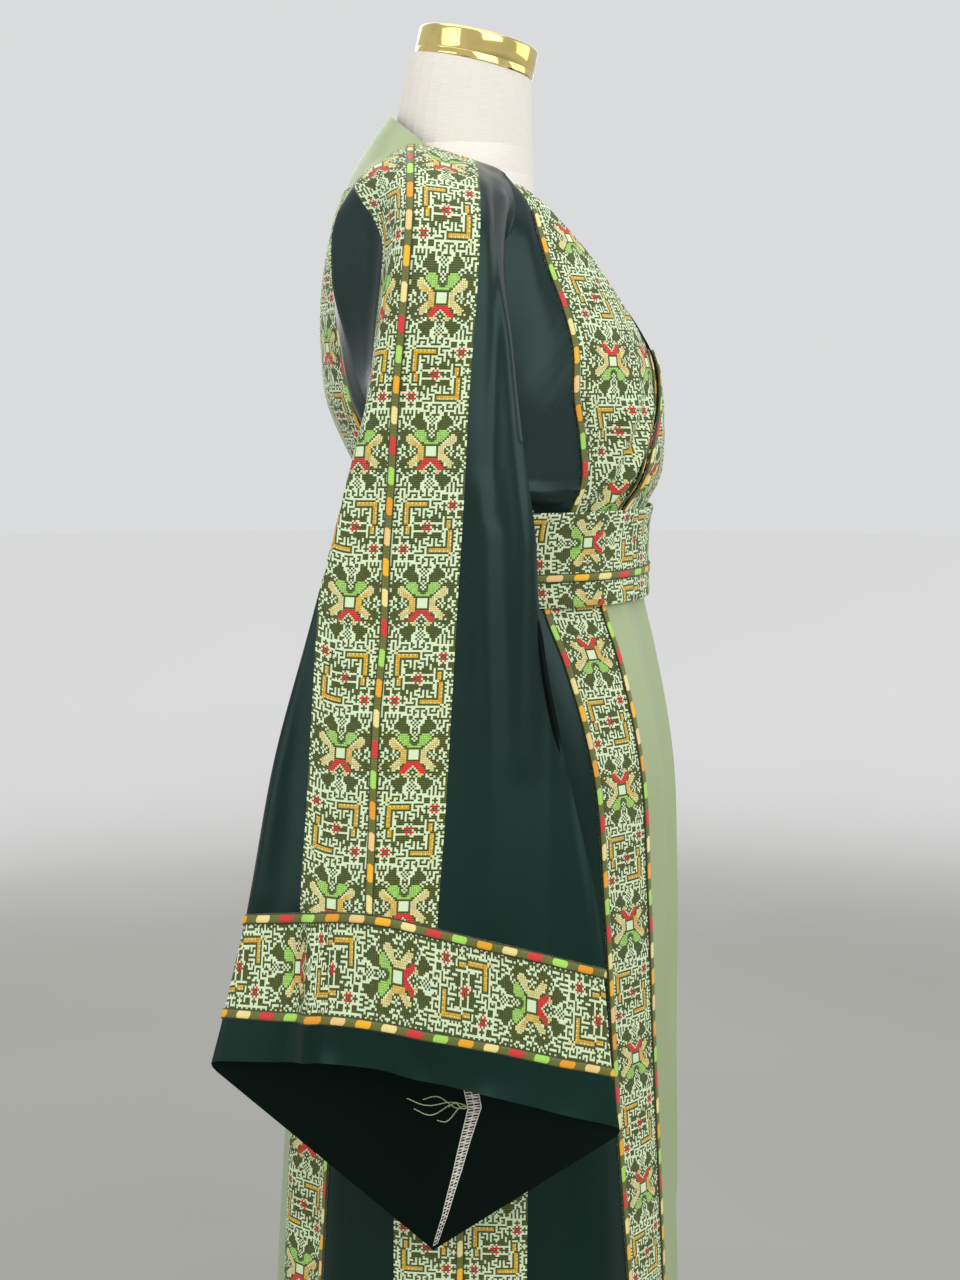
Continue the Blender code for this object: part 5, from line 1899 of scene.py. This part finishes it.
@dataclass
class SeamAllowance:
    """The overlocked seam allowance inside a cuff: a ladder of pale thread with loose ends."""

    sleeve: Sleeve
    width: float = 0.013
    step: float = 0.0029
    thread: float = 0.0005
    clear: float = 0.0014  # from the satin's inner face to the ladder
    taper: tuple = ((0.0, 0.45), (0.12, 1.0))  # share of the width, by length up from the hem
    ends_up: float = 0.058  # how far above the spine's lower end the loose ends leave it
    reach_in: float = -0.022  # how far they come toward the wearer's right
    sways: float = 2.2  # half waves of each loose end
    skew: tuple[float, float, float] = (0.31, 0.77, 0.55)  # a direction that no strand runs along
    start: float = 0.001  # length up from the hem to the first rung
    trials: int = 300  # places tried along the seam
    end_points: int = 11  # of each loose end
    # How far it lies toward the front, by length up from the hem
    lean: tuple = ((0.0, 0.0), (0.023, 0.011), (0.058, 0.022), (0.098, 0.031), (0.121, 0.036), (0.147, 0.030),
                   (0.26, 0.012))
    # Loose ends: reach back, rise and sway
    ends: tuple = ((0.050, 0.013, 0.0025), (0.044, 0.003, 0.0040), (0.036, 0.016, -0.0030),
                   (0.024, -0.006, 0.0030), (0.014, 0.010, -0.0020))

    def strand(self, path: Array, vertices: list, faces: list) -> None:
        """Add a four-sided strand along a path.

        Args:
            path: Points of its middle.
            vertices: Vertices so far, added to.
            faces: Faces so far, added to.
        """
        way = path[-1] - path[0]
        across = np.cross(way, self.skew)
        across = across / norm(across) * self.thread
        over = np.cross(way, across)
        over = over / norm(over) * self.thread
        base = len(vertices)
        for point in path:
            vertices += [tuple(point + across), tuple(point + over), tuple(point - across), tuple(point - over)]
        faces += [tuple(base + k for k in face) for face in ring_faces(len(path), 4)]
        last = base + 4 * (len(path) - 1)
        faces += [(base + 3, base + 2, base + 1, base), (last, last + 1, last + 2, last + 3)]

    def edge(self, down: float, off: float) -> Array:
        """A point on the inside of the sleeve at a length from its seam."""
        _, _, marks = self.sleeve.row(down)
        point = self.sleeve.at(down, np.array([marks[0] + off]))[0]
        inside = self.sleeve.at(down, np.array([0.0]))[0] - point
        return point + inside / norm(inside) * (CLOTH + self.clear)

    def build(self, maker: Maker) -> None:
        """Make the ladder."""
        tries = np.linspace(self.sleeve.keys[-1], self.sleeve.keys[CUFF_ROW] - 0.01, self.trials)
        up = lengths_along(np.array([self.edge(down, 0.0) for down in tries]))
        ups = np.arange(self.start, up[-1], self.step)
        downs = np.interp(ups, up, tries)
        leans = read(self.lean, ups)
        near = np.array([self.edge(down, lean) for down, lean in zip(downs, leans)])
        far = np.array([self.edge(down, lean + self.width * share)
                        for down, lean, share in zip(downs, leans, read(self.taper, ups))])
        vertices: list[tuple[float, ...]] = []
        faces: Faces = []
        for line in (near, far, mix(near, far, 0.5)):
            self.strand(line, vertices, faces)
        for k in range(len(downs) - 1):
            self.strand(np.array([near[k], far[k]]), vertices, faces)
            if k % 2:
                self.strand(np.array([far[k], near[k + 1]]), vertices, faces)
        ladder = len(faces)
        hem = self.sleeve.at(self.sleeve.keys[-1], np.array([0.0]))[0][2]
        top = near[int(np.abs(near[:, 2] - (hem - self.ends_up)).argmin())]
        for reach, rise, sway in self.ends:
            bend = np.linspace(0, 1, self.end_points)[:, None]
            path = top + np.array([self.reach_in, reach, rise]) * bend
            path = path + np.array([0.3, 0.0, 1.0]) * sway * np.sin(bend * self.sways * pi)
            self.strand(path, vertices, faces)
        points = np.array(vertices)
        if self.sleeve.side is Side.LEFT:
            points = points * TO_LEFT
            faces = [face[::-1] for face in faces]
        item = put_mesh(f"cuff_overlock_{self.sleeve.side.label}", points, faces,
                        (maker.finishes.thread, maker.finishes.ground))
        item.data.polygons.foreach_set("material_index", [int(k >= ladder) for k in range(len(faces))])
        maker.place(item, Slot.LINEN)
        LOG.info("%s: %d faces", item.name, len(faces))


@dataclass(frozen=True)
class NeckCap:
    """The polished cap on the dress form's neck."""

    radius: float = 0.056
    height: float = 0.027
    centre: tuple[float, float] = (0.006, 1.5095)  # y and z of the middle of its underside
    tilt: float = 12.0  # degrees, forward and down
    rounding: float = 0.0035
    turns: int = 128
    sharp: float = 40.0  # degrees

    def profile(self) -> list[tuple[float, float]]:
        """Radius and rise of its rings, from the middle of the underside to the middle of the top."""
        arc = np.linspace(0, pi / 2, 7)
        outer = [(self.radius - self.rounding * (1 - cos(a)), self.height - self.rounding * (1 - sin(a)))
                 for a in arc]
        return [(0.0, 0.0), (self.radius - 0.001, 0.0), (self.radius, 0.001), (self.radius, 0.006),
                (self.radius - 0.0004, 0.0066), (self.radius, 0.0072), *outer,
                (self.radius * 0.6, self.height), (0.0, self.height)]

    def build(self, maker: Maker) -> None:
        """Make the cap."""
        rings = self.profile()
        around = np.linspace(0, 2 * pi, self.turns + 1)[:-1]
        lean = radians(self.tilt)
        turn = np.array(((1, 0, 0), (0, cos(lean), -sin(lean)), (0, sin(lean), cos(lean))))
        points = []
        for radius, rise in rings:
            wide = max(radius, 1e-5)
            points += [(wide * cos(a), wide * sin(a), rise) for a in around]
        points = np.array(points) @ turn.T + np.array((0.0, *self.centre))
        faces = ring_faces(len(rings), self.turns)
        item = put_mesh("neck_cap", points, faces, (maker.finishes.gold_cap,), self.sharp)
        maker.place(item, Slot.GOLD, "form_neck_cap")
        LOG.info("neck_cap: %d faces", len(faces))


@dataclass(frozen=True)
class Studio:
    """Floor, soft lights and camera."""

    lens: float = 51.39  # sensor height 36
    place: tuple[float, float, float] = (-1.7433, -0.1525, 1.205)
    heading: tuple[float, float] = (0.996, 0.087)
    pitch: float = 7.5  # degrees down
    air: float = 0.755  # strength of the even light
    sky: Colour = (0.93, 0.94, 0.95, 1.0)
    floor_flat: float = 2.4  # radius of the floor's first ring
    floor_reach: float = 3.2  # radius where it begins to rise
    floor_rise: float = 0.8  # radius of that rise
    # Each light: name, place, target, size, power
    lights: tuple = (
        ("key", (-2.6, -1.7, 2.6), (0.0, 0.0, 1.0), 2.4, 50.0),
        ("fill", (-2.2, 2.4, 1.8), (0.0, 0.0, 1.0), 2.2, 24.0),
        ("front", (0.6, -2.8, 1.7), (0.0, 0.0, 0.9), 2.0, 15.0),
        ("far_side", (2.8, 0.8, 2.2), (0.0, 0.0, 1.0), 2.4, 26.0),
        ("top", (-0.2, 0.1, 3.4), (0.0, 0.0, 1.0), 2.6, 26.0),
    )

    def build(self) -> None:
        """Make the floor, lights, background and camera."""
        self.floor()
        for name, place, target, size, power in self.lights:
            self.light(name, place, target, size, power)
        world = bpy.data.worlds.new("studio")
        world.use_nodes = True
        background = world.node_tree.nodes["Background"]
        background.inputs["Color"].default_value = self.sky
        background.inputs["Strength"].default_value = self.air
        bpy.context.scene.world = world
        self.camera()

    def floor(self) -> None:
        """A floor disc that runs up into a pale backdrop all round."""
        reach, rise = self.floor_reach, self.floor_rise
        profile = [(0.0, 0.0), (self.floor_flat, 0.0), (reach, 0.0)]
        profile += [(reach + rise * sin(a), rise - rise * cos(a)) for a in np.linspace(0.1, pi / 2, 9)]
        turns = np.linspace(0, 2 * pi, 65)[:-1]
        points = np.array([(r * cos(t), r * sin(t), z) for r, z in profile for t in turns])
        item = put_mesh("floor", points, ring_faces(len(profile), len(turns)), (Floor().material(),))
        item.data.shade_smooth()

    @staticmethod
    def light(name: str, place: tuple[float, float, float], target: tuple[float, float, float], size: float,
              power: float) -> None:
        """Add a soft square light that faces a point."""
        data = bpy.data.lights.new(name, "AREA")
        data.size, data.energy = size, power
        item = bpy.data.objects.new(name, data)
        item.location = place
        item.rotation_euler = (Vector(target) - Vector(place)).to_track_quat("-Z", "Y").to_euler()
        bpy.context.scene.collection.objects.link(item)

    def camera(self) -> None:
        """Add the camera."""
        data = bpy.data.cameras.new("camera")
        data.sensor_fit, data.sensor_height, data.lens = "VERTICAL", 36.0, self.lens
        item = bpy.data.objects.new("camera", data)
        item.location = self.place
        way = Vector((*self.heading, -tan(radians(self.pitch))))
        item.rotation_euler = way.to_track_quat("-Z", "Y").to_euler()
        bpy.context.scene.collection.objects.link(item)
        bpy.context.scene.camera = item


SLEEVE_FOLDS = creases(
    (-0.074, 0.02, -0.084, 0.42, -0.0042, 0.009), (-0.097, 0.10, -0.122, 0.62, 0.0056, 0.013),
    (-0.078, 0.40, -0.104, 0.74, 0.0046, 0.012), (-0.132, 0.46, -0.152, 0.74, -0.0052, 0.014),
    (-0.170, 0.52, -0.190, 0.74, 0.0046, 0.013), (0.076, 0.30, 0.096, 0.73, 0.0046, 0.012),
    (0.112, 0.36, 0.140, 0.74, -0.0046, 0.014), (-0.012, 0.012, -0.014, 0.085, 0.0026, 0.006),
    (0.026, 0.50, 0.014, 0.74, 0.0026, 0.012), (-0.036, 0.56, -0.030, 0.74, -0.0026, 0.013),
    (0.047, 0.735, 0.045, 0.90, 0.0060, 0.0065), (0.062, 0.75, 0.060, 0.89, -0.0026, 0.008),
    (-0.058, 0.75, -0.048, 0.895, 0.0028, 0.016), (-0.112, 0.75, -0.118, 0.895, -0.0028, 0.017),
    (-0.168, 0.75, -0.172, 0.895, 0.0028, 0.015), (0.030, 0.872, -0.018, 0.880, 0.0032, 0.008),
    (-0.030, 0.866, -0.075, 0.884, 0.0030, 0.008), (-0.092, 0.878, -0.140, 0.870, 0.0032, 0.008),
    (-0.150, 0.884, -0.196, 0.872, 0.0028, 0.008),
)
FRONT_GATHERS = creases(
    (0.140, 0.318, 0.086, 0.205, 0.0042, 0.0070), (0.128, 0.322, 0.072, 0.218, -0.0040, 0.0060),
    (0.117, 0.325, 0.062, 0.230, 0.0036, 0.0060), (0.149, 0.305, 0.112, 0.215, -0.0034, 0.0070),
    (0.104, 0.325, 0.052, 0.245, -0.0030, 0.0055),
)
BODICE_FOLDS = FRONT_GATHERS + tuple(
    Crease((-crease.start[0] + 0.006, crease.start[1]), (-crease.end[0] + 0.002, crease.end[1] + 0.01),
           crease.height * 0.9, crease.width) for crease in FRONT_GATHERS)
SKIRT_FOLDS = creases(
    (0.022, 0.03, 0.030, 0.62, 0.0042, 0.010), (0.050, 0.03, 0.062, 0.78, -0.0042, 0.012),
    (0.080, 0.03, 0.086, 0.52, 0.0036, 0.010), (-0.018, 0.03, -0.014, 0.70, -0.0040, 0.011),
    (-0.046, 0.03, -0.058, 0.58, 0.0040, 0.011), (-0.078, 0.03, -0.086, 0.74, -0.0038, 0.011),
    (0.176, 0.05, 0.205, 0.98, 0.0046, 0.020), (-0.180, 0.05, -0.212, 0.98, 0.0046, 0.021),
    (0.205, 0.10, 0.245, 0.90, -0.0044, 0.018), (-0.208, 0.10, -0.252, 0.92, -0.0044, 0.018),
    (0.330, 0.05, 0.400, 0.95, 0.0050, 0.022), (-0.334, 0.05, -0.410, 0.95, 0.0050, 0.020),
    (0.405, 0.03, 0.500, 0.80, -0.0052, 0.015), (-0.400, 0.03, -0.492, 0.90, -0.0052, 0.014),
    (0.430, 0.03, 0.560, 0.92, 0.0056, 0.017), (-0.426, 0.03, -0.550, 0.78, 0.0056, 0.016),
    (0.456, 0.03, 0.620, 0.70, -0.0050, 0.016), (-0.460, 0.03, -0.632, 0.86, -0.0050, 0.018),
)


def main() -> None:
    """Build every sub-assembly in order."""
    logging.basicConfig(level=logging.INFO, format="%(message)s")
    bpy.context.scene.view_settings.view_transform = "Standard"
    Studio().build()
    maker = Maker(Finishes())
    for node, slot in (("form_torso", Slot.LINEN), ("form_pole", Slot.METAL), ("form_base", Slot.METAL)):
        maker.keep(node, slot)
    NeckCap().build(maker)
    right = Sleeve(Side.RIGHT, SLEEVE_FOLDS)
    left = Sleeve(Side.LEFT, tuple(crease.moved(0.006 * (-1) ** n, 0.018 * (n % 3 - 1))
                                   for n, crease in enumerate(SLEEVE_FOLDS)))
    right.build(maker)
    left.build(maker)
    for sleeve in (right, left):
        SeamAllowance(sleeve).build(maker)
    Bodice(right, BODICE_FOLDS).build(maker)
    Skirt(SKIRT_FOLDS).build(maker)
    Belt().build(maker)
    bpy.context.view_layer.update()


if __name__ == "__main__":
    main()
